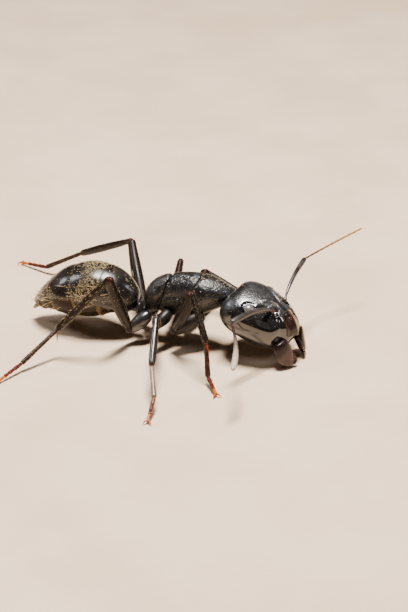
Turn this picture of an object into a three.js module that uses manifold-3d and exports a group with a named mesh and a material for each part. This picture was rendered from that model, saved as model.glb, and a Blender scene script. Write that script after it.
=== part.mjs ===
// A large worker of the black carpenter ant, standing still, at life size.
// Millimetres. +X to the head, +Y to the ant's left, +Z up, the floor at z = 0.
// The pieces are placed from the middle of the trunk, and the whole ant is then
// moved so that the origin lies on the floor under the middle of its box.

import * as THREE from 'three';
import { mergeVertices } from 'three/addons/utils/BufferGeometryUtils.js';
import Module from 'manifold-3d';

const wasm = await Module();
wasm.setup();

// ---- driving dimensions ----

const GAP = 0.03; // clear space between neighbouring plates
const FLOOR_LIFT = 0.1; // height of a toe's middle line where its claws stand
const BOX_MIDDLE = new THREE.Vector2(-1.706, -0.861); // middle of the box, from the trunk's middle

const HEAD_CENTRE = new THREE.Vector3(3.0, -0.16, 1.82);
const HEAD_TURN = -8.5; // degrees, towards the ant's left
const HEAD_DIP = 31.5; // degrees, face down
const HEAD_BACK = -1.55; // along the head, from its centre
const HEAD_FRONT = 1.73;
const HEAD_SECTIONS = [
  [1.3, 0.74, 1.1],
  [1.58, 0.9, 1.22],
  [1.5, 1.04, 1.1],
  [1.32, 1.0, 0.94],
  [1.12, 0.84, 0.7],
];
const EYE_CENTRE = new THREE.Vector3(-0.24, 1.15, 0.58);
const EYE_RADII = new THREE.Vector3(0.27, 0.15, 0.22);
const EYE_TILT = 45; // degrees, how far it looks up
const SOCKET = new THREE.Vector3(0.52, 0.53, 0.9);
const OCCIPUT_HOLLOW = { radius: 0.6, stretch: [0.6, 1.1, 1], height: -0.05 };
const CLYPEUS_BACK = 0.86; // where the face plate starts, along the head
const CLYPEUS_HALF_WIDTH = [0.42, 0.86]; // at its back edge and ahead of the head
const CLYPEUS_REACH = 1.87; // of the wedge it is cut with, past the head's front and top
const CLYPEUS_FLOOR = 0.4; // the plate's underside, above the head's middle line

const MANDIBLE_PATH = [
  [1.4, 0.88, 0.05],
  [1.9, 0.86, -0.08],
  [2.24, 0.74, -0.26],
  [2.42, 0.5, -0.46],
];
const MANDIBLE_SECTIONS = [
  [0.34, 0.2, 0.2],
  [0.38, 0.19, 0.19],
  [0.36, 0.16, 0.16],
  [0.16, 0.1, 0.1],
];
const MANDIBLE_ROLL = 34; // degrees, how far the blade's outer edge hangs
const TOOTH_COUNT = 5;
const TOOTH_LENGTH = 0.26;
const TOOTH_RADIUS = 0.09;
const TOOTH_SHARES = [0.5, 0.92]; // where the row of teeth runs, along the blade
const TOOTH_REACH = [0.34, 0.2]; // from the blade's middle line, at the row's two ends

const SCAPE_LENGTH = 2.65;
const SCAPE_RADIUS = 0.25;
const FUNICULUS_LENGTH = 3.4;
const FUNICULUS_RADIUS = 0.25;
const ANTENNAE = {
  right: { scape: [115, 6], start: [62, -7], end: [83, -9] },
  left: { scape: [87, 13], start: [68, 2], end: [47, 14] },
};

const TRUNK_PATH = [
  [-1.88, 0, 1.62],
  [-1.2, 0, 2.0],
  [-0.2, 0, 2.2],
  [0.85, 0, 2.36],
  [1.9, 0, 2.42],
];
const TRUNK_SECTIONS = [
  [0.48, 0.42, 0.46],
  [0.66, 0.9, 0.82],
  [0.72, 0.98, 0.95],
  [0.88, 0.86, 0.8],
  [0.5, 0.42, 0.42],
];
const PRONOTUM_SUTURE = { x: 0.22, z: 2.6, lean: 31 }; // lean in degrees, its top forward
const PROPODEUM_SUTURE = { x: -1.0, z: 2.3, lean: 16 };
const NECK_AXIS = [[1.45, 0, 2.32], [1.95, -0.02, 2.42]];
const NECK_RADII = [0.36, 0.31];

const PETIOLE_FOOT = [-2.14, 0, 1.02];
const PETIOLE_TOP = [-2.12, 0, 1.68];
const PETIOLE_SECTIONS = [
  [0.3, 0.2, 0.2],
  [0.42, 0.17, 0.19],
  [0.34, 0.1, 0.12],
];

const GASTER_PATH = [
  [-2.33, 0, 1.45],
  [-3.4, 0.03, 1.86],
  [-4.6, 0.08, 1.82],
  [-5.75, 0.16, 1.47],
  [-6.85, 0.25, 0.84],
];
const GASTER_SECTIONS = [
  [0.8, 0.86, 0.7],
  [1.18, 1.16, 1.12],
  [1.27, 1.13, 1.2],
  [1.17, 0.83, 0.96],
  [0.62, 0.42, 0.4],
];
const GASTER_CUTS = [0.31, 0.54, 0.765, 0.9]; // shares of its length where a plate ends

const LEG_LENGTHS = {
  hind: { coxa: 1.1, femur: 3.5, tibia: 3.25, basitarsus: 2.1, toes: 1.5 },
  mid: { coxa: 0.92, femur: 2.6, tibia: 2.3, basitarsus: 1.5, toes: 1.2 },
  fore: { coxa: 1.45, femur: 2.65, tibia: 2.15, basitarsus: 1.4, toes: 1.15 },
};
const HIPS = {
  hind: [-1.6, 0.38, 1.32],
  mid: [-0.7, 0.5, 1.6],
  fore: [0.72, 0.42, 1.62],
};
const COXA_RADIUS = { hind: 0.36, mid: 0.32, fore: 0.37 };
const COXA_TAPER = [0.8, 1, 0.95, 0.6]; // shares of its radius, from hip to femur
const FEMUR_RADIUS = { hind: 0.26, mid: 0.26, fore: 0.29 };
const FEMUR_TAPER = [0.78, 1, 0.96, 0.86]; // from coxa to knee
const TIBIA_RADIUS = 0.25;
const TARSUS_RADIUS = 0.25;
// Each piece points a turn away from straight ahead, towards the leg's own side,
// and a rise above the level, in degrees. The toes' rise follows from the floor.
const LEG_POSES = {
  hind_right: { coxa: [144, -35], femur: [99, 60], tibia: [171, -48], basitarsus: [121, -26], toes: 112 },
  hind_left: { coxa: [140, -39], femur: [120, 38], tibia: [157, -26], basitarsus: [168, -30], toes: 157 },
  mid_right: { coxa: [115.5, -27], femur: [72, 34], tibia: [78, -34], basitarsus: [68, -29], toes: 86 },
  mid_left: { coxa: [132, -43], femur: [97, 27], tibia: [115, -52], basitarsus: [34, -5], toes: 4.6 },
  fore_right: { coxa: [147, -26], femur: [39, 58], tibia: [52, -44], basitarsus: [59, -76], toes: 56 },
  fore_left: { coxa: [160, -38], femur: [89, 25], tibia: [-18, -18], basitarsus: [70, -29], toes: 55 },
};

// ---- finishes ----

const SHELL_BLACK = { color: 0x0d0b0a, roughness: 0.4, metalness: 0 };
const GASTER_BROWN = { color: 0x15100c, roughness: 0.42, metalness: 0 };
const LEG_BROWN = { color: 0x23120b, roughness: 0.38, metalness: 0 };
const FOOT_RED = { color: 0x6b2510, roughness: 0.45, metalness: 0 };
const JAW_RED = { color: 0x3a0f08, roughness: 0.25, metalness: 0 };
const EYE_GREY = { color: 0x2a2723, roughness: 0.3, metalness: 0 };

// ---- helpers ----

const UP = new THREE.Vector3(0, 0, 1);
const SIDES = { right: -1, left: 1 };

const point = (place) => new THREE.Vector3(...place);
const mirrored = (place, side) => new THREE.Vector3(place.x, place.y * side, place.z);

function direction([turn, rise], side) {
  const t = THREE.MathUtils.degToRad(turn);
  const r = THREE.MathUtils.degToRad(rise);
  return new THREE.Vector3(
    Math.cos(t) * Math.cos(r),
    Math.sin(t) * Math.cos(r) * side,
    Math.sin(r),
  );
}

function solid(geometry) {
  const shape = geometry.clone();
  shape.deleteAttribute('normal');
  shape.deleteAttribute('uv');
  const welded = mergeVertices(shape);
  return new wasm.Manifold(new wasm.Mesh({
    numProp: 3,
    vertProperties: welded.attributes.position.array,
    triVerts: new Uint32Array(welded.index.array),
  }));
}

function geometryOf(body) {
  const mesh = body.getMesh();
  const geometry = new THREE.BufferGeometry();
  geometry.setAttribute('position', new THREE.BufferAttribute(mesh.vertProperties, 3));
  geometry.setIndex(new THREE.BufferAttribute(mesh.triVerts, 1));
  geometry.computeVertexNormals();
  return geometry;
}

// A closed form: a ball whose poles lie at the ends of a path, drawn out along it.
// Each section gives the half width, the height above the path and the depth below
// it; a low bluntness makes squarer ends, and grow swells the form on every side.
function form(path, sections, { sides = 20, rings = 14, blunt = 0.6, up = UP, grow = 0 } = {}) {
  const ball = new THREE.SphereGeometry(1, sides, rings);
  const places = ball.attributes.position;
  const sizes = new THREE.CatmullRomCurve3(sections.map(point));
  for (let i = 0; i < places.count; i++) {
    const pole = places.getY(i);
    const share = (1 + pole) / 2;
    const round = Math.max(0, 1 - pole * pole) ** (blunt / 2);
    const angle = Math.atan2(places.getZ(i), places.getX(i));
    const size = sizes.getPoint(share);
    const along = path.getTangentAt(share);
    const aside = along.clone().cross(up).normalize();
    const above = aside.clone().cross(along);
    const height = Math.sin(angle) > 0 ? size.y : size.z;
    const place = path.getPointAt(share)
      .addScaledVector(aside, Math.cos(angle) * (size.x + grow) * round)
      .addScaledVector(above, Math.sin(angle) * (height + grow) * round)
      .addScaledVector(along, pole * grow);
    places.setXYZ(i, place.x, place.y, place.z);
  }
  return ball;
}

const curve = (places) => new THREE.CatmullRomCurve3(places.map(point));
const line = (from, to) => new THREE.LineCurve3(from, to);

// A limb piece that is round in section, with its half widths from start to end.
function limb(path, radii, options = {}) {
  const sections = radii.map((radius) => [radius, radius, radius]);
  return form(path, sections, { sides: 8, rings: 8, blunt: 0.35, ...options });
}

// All that lies on the far side of an upright plane across the body, as one big box.
const REACH = 12;
function beyond(x, z, lean, way) {
  const box = new THREE.BoxGeometry(REACH, REACH, REACH);
  box.translate(way * (REACH / 2 + GAP / 2), 0, 0);
  box.rotateY(THREE.MathUtils.degToRad(lean));
  box.translate(x, 0, z);
  return solid(box);
}

const ant = new THREE.Group();

function addPiece(name, geometry, finish, parent = ant) {
  const piece = new THREE.Mesh(geometry, new THREE.MeshStandardMaterial(finish));
  piece.name = name;
  parent.add(piece);
  return piece;
}

// ---- head ----

const headGroup = new THREE.Group();
headGroup.position.copy(HEAD_CENTRE);
headGroup.rotation.order = 'ZYX';
headGroup.rotation.z = THREE.MathUtils.degToRad(HEAD_TURN);
headGroup.rotation.y = THREE.MathUtils.degToRad(HEAD_DIP);
headGroup.updateMatrixWorld(true);
ant.add(headGroup);

function eye(side, grow = 0) {
  const ball = new THREE.SphereGeometry(1, 12, 8);
  ball.scale(EYE_RADII.x + grow, EYE_RADII.y + grow, EYE_RADII.z + grow);
  ball.rotateX(side * THREE.MathUtils.degToRad(EYE_TILT));
  const centre = mirrored(EYE_CENTRE, side);
  ball.translate(centre.x, centre.y, centre.z);
  return ball;
}

// The face plate between the jaws, as a wedge that is wider at its front edge.
function clypeusBlock(grow) {
  const [back, front] = CLYPEUS_HALF_WIDTH;
  const outline = new THREE.Shape();
  outline.moveTo(CLYPEUS_BACK - grow, -back - grow);
  outline.lineTo(CLYPEUS_BACK + CLYPEUS_REACH, -front - grow);
  outline.lineTo(CLYPEUS_BACK + CLYPEUS_REACH, front + grow);
  outline.lineTo(CLYPEUS_BACK - grow, back + grow);
  outline.closePath();
  const block = new THREE.ExtrudeGeometry(outline, { depth: CLYPEUS_REACH, bevelEnabled: false });
  block.translate(0, 0, CLYPEUS_FLOOR - grow);
  return solid(block);
}

function mandible(side, grow = 0) {
  const places = MANDIBLE_PATH.map(([x, y, z]) => [x, y * side, z]);
  const path = curve(places);
  const roll = THREE.MathUtils.degToRad(MANDIBLE_ROLL);
  const up = new THREE.Vector3(0, Math.sin(roll) * side, Math.cos(roll));
  const blade = form(path, MANDIBLE_SECTIONS, { sides: 10, rings: 8, blunt: 0.55, up, grow });
  let body = solid(blade);
  for (let i = 0; i < TOOTH_COUNT && grow === 0; i++) {
    const step = i / (TOOTH_COUNT - 1);
    const share = THREE.MathUtils.lerp(...TOOTH_SHARES, step);
    const root = path.getPointAt(share);
    const inward = path.getTangentAt(share).cross(up).multiplyScalar(side).normalize();
    const tooth = new THREE.ConeGeometry(TOOTH_RADIUS, TOOTH_LENGTH, 6);
    tooth.applyQuaternion(new THREE.Quaternion().setFromUnitVectors(new THREE.Vector3(0, 1, 0), inward));
    root.addScaledVector(inward, THREE.MathUtils.lerp(...TOOTH_REACH, step));
    tooth.translate(root.x, root.y, root.z);
    body = body.add(solid(tooth));
  }
  return body;
}

function headForm(grow = 0) {
  const path = line(new THREE.Vector3(HEAD_BACK, 0, 0), new THREE.Vector3(HEAD_FRONT, 0, 0));
  return form(path, HEAD_SECTIONS, { sides: 24, rings: 16, blunt: 0.62, grow });
}

function makeHead() {
  let capsule = solid(headForm());
  let plate = capsule.intersect(clypeusBlock(0));
  capsule = capsule.subtract(clypeusBlock(GAP));
  for (const [name, side] of Object.entries(SIDES)) {
    capsule = capsule.subtract(solid(eye(side, GAP))).subtract(mandible(side, GAP));
    plate = plate.subtract(mandible(side, GAP));
    addPiece(`eye_${name}`, eye(side), EYE_GREY, headGroup);
    addPiece(`mandible_${name}`, geometryOf(mandible(side)), JAW_RED, headGroup);
  }
  const hollow = new THREE.SphereGeometry(OCCIPUT_HOLLOW.radius, 20, 12);
  hollow.scale(...OCCIPUT_HOLLOW.stretch);
  hollow.translate(HEAD_BACK, 0, OCCIPUT_HOLLOW.height);
  addPiece('head', geometryOf(capsule.subtract(solid(hollow))), SHELL_BLACK, headGroup);
  addPiece('clypeus', geometryOf(plate), SHELL_BLACK, headGroup);
}

// ---- feelers ----

function makeFeeler(name, side) {
  const pose = ANTENNAE[name];
  const lift = new THREE.Vector3(0, 0, SCAPE_RADIUS);
  const socket = headGroup.localToWorld(mirrored(SOCKET, side).add(lift));
  const reach = direction(pose.scape, side);
  const elbow = socket.clone().addScaledVector(reach, SCAPE_LENGTH);
  const scape = limb(line(socket, elbow), [SCAPE_RADIUS, SCAPE_RADIUS]);
  const first = elbow.clone().addScaledVector(direction(pose.start, side), FUNICULUS_LENGTH / 2);
  const tip = first.clone().addScaledVector(direction(pose.end, side), FUNICULUS_LENGTH / 2);
  const bend = new THREE.QuadraticBezierCurve3(elbow, first, tip);
  const whip = limb(bend, [FUNICULUS_RADIUS, FUNICULUS_RADIUS]);
  const elbowRoom = limb(line(socket, elbow), [SCAPE_RADIUS, SCAPE_RADIUS], { grow: GAP });
  addPiece(`scape_${name}`, scape, LEG_BROWN);
  addPiece(`funiculus_${name}`, geometryOf(solid(whip).subtract(solid(elbowRoom))), LEG_BROWN);
}

// ---- trunk and waist ----

function trunkForm(grow = 0) {
  return form(curve(TRUNK_PATH), TRUNK_SECTIONS, { sides: 18, rings: 14, blunt: 0.5, grow });
}

function makeTrunk(hips) {
  const front = PRONOTUM_SUTURE;
  const back = PROPODEUM_SUTURE;
  const trunk = solid(trunkForm()).subtract(hips);
  const neckAxis = line(...NECK_AXIS.map(point));
  const headRoom = solid(headForm(GAP).applyMatrix4(headGroup.matrixWorld));
  const neck = solid(limb(neckAxis, NECK_RADII));
  const neckRoom = solid(limb(neckAxis, NECK_RADII, { grow: GAP }));
  const shield = trunk.intersect(beyond(front.x, front.z, front.lean, 1));
  const pronotum = shield.subtract(neckRoom).subtract(headRoom);
  const rest = trunk.intersect(beyond(front.x, front.z, front.lean, -1));
  addPiece('neck', geometryOf(neck.subtract(headRoom)), SHELL_BLACK);
  addPiece('pronotum', geometryOf(pronotum), SHELL_BLACK);
  addPiece('mesonotum', geometryOf(rest.intersect(beyond(back.x, back.z, back.lean, 1))), SHELL_BLACK);
  addPiece('propodeum', geometryOf(rest.intersect(beyond(back.x, back.z, back.lean, -1))), SHELL_BLACK);
}

function makePetiole(hips) {
  const path = line(point(PETIOLE_FOOT), point(PETIOLE_TOP));
  const ahead = new THREE.Vector3(1, 0, 0);
  const scale = form(path, PETIOLE_SECTIONS, { sides: 16, rings: 10, blunt: 0.5, up: ahead });
  const body = solid(scale).subtract(solid(trunkForm(GAP))).subtract(hips);
  addPiece('petiole', geometryOf(body), SHELL_BLACK);
  return solid(form(path, PETIOLE_SECTIONS, { sides: 16, rings: 10, blunt: 0.5, up: ahead, grow: GAP }));
}

// ---- gaster ----

function makeGaster(petioleRoom, room) {
  const path = curve(GASTER_PATH);
  const whole = form(path, GASTER_SECTIONS, { sides: 20, rings: 18, blunt: 0.55 });
  let rest = solid(whole).subtract(petioleRoom).subtract(room);
  GASTER_CUTS.forEach((share, index) => {
    const place = path.getPointAt(share);
    const along = path.getTangentAt(share);
    const lean = THREE.MathUtils.radToDeg(Math.atan2(-along.z, -along.x));
    const plate = rest.intersect(beyond(place.x, place.z, -lean, 1));
    rest = rest.intersect(beyond(place.x, place.z, -lean, -1));
    addPiece(`gaster_${index + 1}`, geometryOf(plate), GASTER_BROWN);
  });
  addPiece('gaster_tip', geometryOf(rest), GASTER_BROWN);
}

// ---- legs ----

function legJoints(name) {
  const [pair, sideName] = name.split('_');
  const side = SIDES[sideName];
  const lengths = LEG_LENGTHS[pair];
  const pose = LEG_POSES[name];
  const [x, y, z] = HIPS[pair];
  const joints = [new THREE.Vector3(x, y * side, z)];
  for (const piece of ['coxa', 'femur', 'tibia', 'basitarsus']) {
    joints.push(joints.at(-1).clone().addScaledVector(direction(pose[piece], side), lengths[piece]));
  }
  const drop = (FLOOR_LIFT - joints.at(-1).z) / lengths.toes;
  const rise = THREE.MathUtils.radToDeg(Math.asin(drop));
  joints.push(joints.at(-1).clone().addScaledVector(direction([pose.toes, rise], side), lengths.toes));
  return joints;
}

function coxaForm(name, grow = 0) {
  const [pair] = name.split('_');
  const [hip, fork] = legJoints(name);
  const radii = COXA_TAPER.map((share) => share * COXA_RADIUS[pair]);
  return solid(limb(line(hip, fork), radii, { grow }));
}

const floor = (() => {
  const slab = new THREE.BoxGeometry(4 * REACH, 4 * REACH, REACH);
  slab.translate(0, 0, -REACH / 2);
  return solid(slab);
})();

function makeLeg(name) {
  const [pair] = name.split('_');
  const [, fork, knee, ankle, ball, toe] = legJoints(name);
  const femurRadii = FEMUR_TAPER.map((share) => share * FEMUR_RADIUS[pair]);
  const femur = (grow) => solid(limb(line(fork, knee), femurRadii, { grow }));
  const tibiaRadii = [TIBIA_RADIUS, TIBIA_RADIUS];
  const tibia = (grow) => solid(limb(line(knee, ankle), tibiaRadii, { grow }));
  const footPath = new THREE.CatmullRomCurve3([ankle, ankle.clone().lerp(ball, 0.5), ball, toe]);
  const tarsus = solid(limb(footPath, [TARSUS_RADIUS, TARSUS_RADIUS], { rings: 9 }));
  addPiece(`coxa_${name}`, geometryOf(coxaForm(name)), SHELL_BLACK);
  addPiece(`femur_${name}`, geometryOf(femur(0).subtract(coxaForm(name, GAP))), LEG_BROWN);
  addPiece(`tibia_${name}`, geometryOf(tibia(0).subtract(femur(GAP))), LEG_BROWN);
  addPiece(`tarsus_${name}`, geometryOf(tarsus.subtract(tibia(GAP)).subtract(floor)), FOOT_RED);
}

const legNames = Object.keys(LEG_POSES);
const hips = legNames.map((name) => coxaForm(name, GAP)).reduce((all, hip) => all.add(hip));

makeHead();
for (const [name, side] of Object.entries(SIDES)) {
  makeFeeler(name, side);
}
makeTrunk(hips);
const petioleRoom = makePetiole(hips);
makeGaster(petioleRoom, hips);
legNames.forEach(makeLeg);

ant.position.set(-BOX_MIDDLE.x, -BOX_MIDDLE.y, 0);

export default ant;
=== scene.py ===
import math

import bpy
import numpy as np
from mathutils import Matrix, Vector


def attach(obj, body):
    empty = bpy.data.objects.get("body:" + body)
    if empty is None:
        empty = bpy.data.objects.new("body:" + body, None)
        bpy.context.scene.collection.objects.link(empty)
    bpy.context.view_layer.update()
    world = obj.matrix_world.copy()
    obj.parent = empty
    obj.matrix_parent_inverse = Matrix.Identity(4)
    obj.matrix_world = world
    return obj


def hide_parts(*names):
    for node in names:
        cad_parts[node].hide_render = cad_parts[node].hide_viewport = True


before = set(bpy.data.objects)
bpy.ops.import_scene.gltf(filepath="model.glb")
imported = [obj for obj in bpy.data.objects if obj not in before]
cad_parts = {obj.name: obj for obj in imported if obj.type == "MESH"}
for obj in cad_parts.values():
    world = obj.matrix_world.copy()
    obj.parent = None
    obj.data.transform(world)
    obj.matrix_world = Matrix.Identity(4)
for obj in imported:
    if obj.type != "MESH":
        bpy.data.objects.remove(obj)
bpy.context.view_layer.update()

# A large worker of the black carpenter ant at life size. All sizes below are in
# millimetres, in the ant's own frame: the middle of its trunk over the origin, +X to
# the head, +Y to its left, +Z up. Each piece is shaped on a bench, drawn out along +Z
# with its back to +Y, and is then set in its place on the ant and brought to metres.

MM = 0.001
TRUNK_PLACE = Vector((1.706, 0.861, 0))  # the ant's frame, in the part's frame
SIDES = {"right": -1, "left": 1}
UP = Vector((0, 0, 1))
AHEAD = Vector((1, 0, 0))

# ---- driving dimensions, as in the solids ----

HEAD_CENTRE = Vector((3.0, -0.16, 1.82))
HEAD_TURN = -8.5
HEAD_DIP = 31.5
HEAD_BACK = -1.55
HEAD_FRONT = 1.73
HEAD_BLUNTNESS = 0.62
HEAD_SECTIONS = [
    (1.3, 0.74, 1.1),
    (1.58, 0.9, 1.22),
    (1.5, 1.04, 1.1),
    (1.32, 1.0, 0.94),
    (1.12, 0.84, 0.7),
]
EYE_CENTRE = Vector((-0.29, 1.07, 0.575))
EYE_RADII = Vector((0.25, 0.16, 0.21))
EYE_TILT = 54
EYE_SINK = {"right": 0, "left": 0.045}  # how much deeper than the right one the eyeball sits
SOCKET = Vector((0.52, 0.53, 0.9))
CLYPEUS_BACK = 0.86
CLYPEUS_HALF_WIDTH = (0.42, 0.86)
CLYPEUS_REACH = 1.87
CLYPEUS_FLOOR = 0.4
MANDIBLE_PATH = [(1.42, 0.87, 0.1), (1.9, 0.86, -0.08), (2.24, 0.74, -0.26), (2.42, 0.5, -0.46)]
MANDIBLE_SECTIONS = [(0.3, 0.55, 0.44), (0.18, 0.46, 0.46), (0.13, 0.32, 0.36), (0.05, 0.1, 0.12)]
MANDIBLE_BLUNTNESS = 0.55
MANDIBLE_ROLL = 34
TOOTH_COUNT = 5
TEETH_FROM = 0.42  # shares of the blade
TEETH_TO = 0.94
JAW_THICKNESS = {"right": 1.0, "left": 1.35}  # the left blade shows more of its rounded side

SCAPE_LENGTH = 2.65
SCAPE_LIFT = 0.25
SCAPE_ROOT_SINK = 0.04
FUNICULUS_LENGTH = 3.4
FUNICULUS_JOINTS = 11
ANTENNAE = {
    "right": {"scape": (115, 6), "start": (62, -7), "end": (83, -9)},
    "left": {"scape": (87, 13), "start": (68, 2), "end": (47, 14)},
}

TRUNK_PATH = [(-1.88, 1.62), (-1.2, 2.0), (-0.2, 2.2), (0.85, 2.36), (1.9, 2.42)]
TRUNK_SECTIONS = [
    (0.48, 0.42, 0.46),
    (0.66, 0.9, 0.82),
    (0.72, 0.98, 0.95),
    (0.88, 0.86, 0.8),
    (0.5, 0.42, 0.42),
]
PRONOTUM_SUTURE = {"x": 0.22, "z": 2.6, "lean": 31}
PROPODEUM_SUTURE = {"x": -1.0, "z": 2.3, "lean": 16}
SUTURE_GAP = 0.03

PETIOLE_FOOT = Vector((-2.14, 0, 1.02))
PETIOLE_TOP = Vector((-2.12, 0, 1.68))
PETIOLE_SECTIONS = [(0.3, 0.2, 0.2), (0.42, 0.17, 0.19), (0.34, 0.1, 0.12)]

GASTER_PATH = [(-2.33, 1.45), (-3.4, 1.86), (-4.6, 1.82), (-5.75, 1.47), (-6.85, 0.84)]
GASTER_SECTIONS = [
    (0.8, 0.86, 0.7),
    (1.18, 1.16, 1.12),
    (1.27, 1.13, 1.2),
    (1.17, 0.83, 0.96),
    (0.62, 0.42, 0.4),
]
GASTER_SWERVE = 3.2  # degrees, the gaster's tip towards the ant's left
PLATE_SWELL = [  # each plate's fullness at its front, middle and rear
    (1.0, 1.0, 0.985),
    (0.985, 1.015, 0.985),
    (0.98, 1.035, 0.985),
    (0.93, 0.965, 0.93),
    (0.93, 0.93, 0.9),
]
TERGITE_EDGE = [  # share of the gaster's length, and how far below its middle line the back plates end
    (0, 0.35), (0.2, 0.35), (0.3, 0.2), (0.36, 0.34), (0.45, 0.15), (0.53, -0.1), (0.56, 0.0),
    (0.65, -0.16), (1, -0.16),
]
GASTER_CUTS = [0, 0.31, 0.54, 0.765, 0.9, 1]
GASTER_BLUNTNESS = 0.55
GASTER_POINT = (Vector((0, 0.86, 4.34)), Vector((0, 0.52, 4.68)))  # on the bench
BELLY_INSET = 0.045

LEG_LENGTHS = {
    "hind": {"coxa": 1.1, "femur": 3.5, "tibia": 3.25, "basitarsus": 2.1, "toes": 1.5},
    "mid": {"coxa": 0.92, "femur": 2.6, "tibia": 2.3, "basitarsus": 1.5, "toes": 1.2},
    "fore": {"coxa": 1.45, "femur": 2.65, "tibia": 2.15, "basitarsus": 1.4, "toes": 1.15},
}
HIPS = {"hind": (-1.6, 0.38, 1.32), "mid": (-0.7, 0.5, 1.6), "fore": (0.72, 0.42, 1.62)}
LEG_POSES = {
    "hind_right": {"coxa": (144, -35), "femur": (99, 60), "tibia": (171, -48),
                   "basitarsus": (121, -26), "toes": 112},
    "hind_left": {"coxa": (140, -39), "femur": (120, 38), "tibia": (157, -26),
                  "basitarsus": (168, -30), "toes": 157},
    "mid_right": {"coxa": (115.5, -27), "femur": (72, 34), "tibia": (78, -34),
                  "basitarsus": (68, -29), "toes": 86},
    "mid_left": {"coxa": (132, -43), "femur": (97, 27), "tibia": (115, -52),
                 "basitarsus": (34, -5), "toes": 4.6},
    "fore_right": {"coxa": (147, -26), "femur": (39, 58), "tibia": (52, -44),
                   "basitarsus": (59, -76), "toes": 56},
    "fore_left": {"coxa": (160, -38), "femur": (89, 25), "tibia": (-18, -18),
                  "basitarsus": (70, -29), "toes": 55},
}
FLOOR_LIFT = 0.1
COXA_RADIUS = {"hind": 0.33, "mid": 0.29, "fore": 0.35}
FEMUR_RADIUS = {"hind": 0.28, "mid": 0.22, "fore": 0.3}
TIBIA_RADIUS = {"hind": 0.17, "mid": 0.16, "fore": 0.155}
TARSUS_RADIUS = {"hind": 0.095, "mid": 0.1, "fore": 0.105}
SCAPE_RADIUS = {"right": 0.13, "left": 0.105}
SCAPE_BOW = {"right": 0.27, "left": 0.3}
ELBOW_DROP = {"right": 0.09, "left": 0}
FUNICULUS_RADII = {"right": (0.062, 0.14), "left": (0.045, 0.052)}  # at its start and near its tip

# ---- the bench ----


def clear_selection():
    if bpy.context.object and bpy.context.object.mode != "OBJECT":
        bpy.ops.object.mode_set(mode="OBJECT")
    bpy.ops.object.select_all(action="DESELECT")


def use(piece):
    clear_selection()
    piece.select_set(True)
    bpy.context.view_layer.objects.active = piece


def between(values, share):
    """A smooth run through a list of equal-length tuples, at a share of its length."""
    spot = min(max(share, 0), 1) * (len(values) - 1)
    i = min(int(spot), len(values) - 2)
    t = spot - i
    last = len(values) - 1
    p0, p1, p2, p3 = (np.array(values[min(max(i + k, 0), last)], float) for k in (-1, 0, 1, 2))
    bend = (2 * p0 - 5 * p1 + 4 * p2 - p3) * t ** 2 + (3 * p1 - p0 - 3 * p2 + p3) * t ** 3
    return 0.5 * (2 * p1 + (p2 - p0) * t + bend)


def on_bench(x, y, z):
    """A place in the head's or the trunk's own frame, as the bench has it."""
    return (y, z, x)


def heading(turn, rise, side):
    """A direction from its turn away from straight ahead and its rise, in degrees."""
    t, r = math.radians(turn), math.radians(rise)
    return Vector((math.cos(t) * math.cos(r), math.sin(t) * math.cos(r) * side, math.sin(r)))


def stand(origin, along, back=UP):
    """Where a bench piece goes: its foot at origin, +Z along, and +Y as near back as can be."""
    along = along.normalized()
    aside = back.cross(along).normalized()
    above = along.cross(aside)
    place = Matrix((aside, above, along)).transposed().to_4x4()
    place.translation = origin
    return place


def finish_mesh(piece, levels):
    """Smooths a cage into its surface, and turns all faces outwards."""
    bpy.ops.mesh.select_all(action="SELECT")
    bpy.ops.mesh.remove_doubles(threshold=1e-4)
    bpy.ops.mesh.normals_make_consistent(inside=False)
    bpy.ops.object.mode_set(mode="OBJECT")
    if levels:
        skin = piece.modifiers.new("surface", "SUBSURF")
        skin.levels = skin.render_levels = levels
        bpy.ops.object.modifier_apply(modifier=skin.name)
    bpy.ops.object.shade_smooth()


def draw_out(name, rings, sides=16, levels=2):
    """A closed form drawn out of a circle. Each ring is (y, z, tilt, half width, half height)."""
    clear_selection()
    y, z, tilt, wide, high = rings[0]
    bpy.ops.mesh.primitive_circle_add(vertices=sides, radius=1, location=(0, 0, 0))
    piece = bpy.context.object
    piece.name = piece.data.name = name
    bpy.ops.object.mode_set(mode="EDIT")
    bpy.ops.mesh.select_all(action="SELECT")
    bpy.ops.transform.resize(value=(wide, high, 1), center_override=(0, 0, 0))
    bpy.ops.transform.rotate(value=tilt, orient_axis="X", center_override=(0, 0, 0))
    bpy.ops.transform.translate(value=(0, y, z))
    bpy.ops.mesh.edge_face_add()
    for y1, z1, tilt1, wide1, high1 in rings[1:]:
        bpy.ops.mesh.extrude_region_move(TRANSFORM_OT_translate={"value": (0, y1 - y, z1 - z)})
        middle = (0, y1, z1)
        bpy.ops.transform.rotate(value=-tilt, orient_axis="X", center_override=middle)
        bpy.ops.transform.resize(value=(wide1 / wide, high1 / high, 1), center_override=middle)
        bpy.ops.transform.rotate(value=tilt1, orient_axis="X", center_override=middle)
        y, z, tilt, wide, high = y1, z1, tilt1, wide1, high1
    finish_mesh(piece, levels)
    return piece


def rings_of(path, sections, count, blunt, start=0.0, end=1.0, swell=1.0):
    """Rings of a rounded form along a path of (z, y) points; each section gives the half
    width, the height above the path and the depth below it."""
    rings = []
    for i in range(count):
        share = start + (end - start) * (1 - math.cos(math.pi * (i + 0.25) / (count - 0.5))) / 2
        rings.append(ring_at(path, sections, share, blunt, swell))
    return rings


def ring_at(path, sections, share, blunt, swell=1.0):
    z, y = between(path, share)
    ahead = between(path, min(share + 0.01, 1)) - between(path, max(share - 0.01, 0))
    slope = math.atan2(ahead[1], ahead[0])
    wide, high, deep = between(sections, share)
    pole = 2 * share - 1
    round_ = max(1 - pole * pole, 0.0004) ** (blunt / 2) * swell
    lift = (high - deep) / 2 * round_
    centre = (y + lift * math.cos(slope), z - lift * math.sin(slope))
    return (*centre, slope, wide * round_, (high + deep) / 2 * round_)


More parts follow.
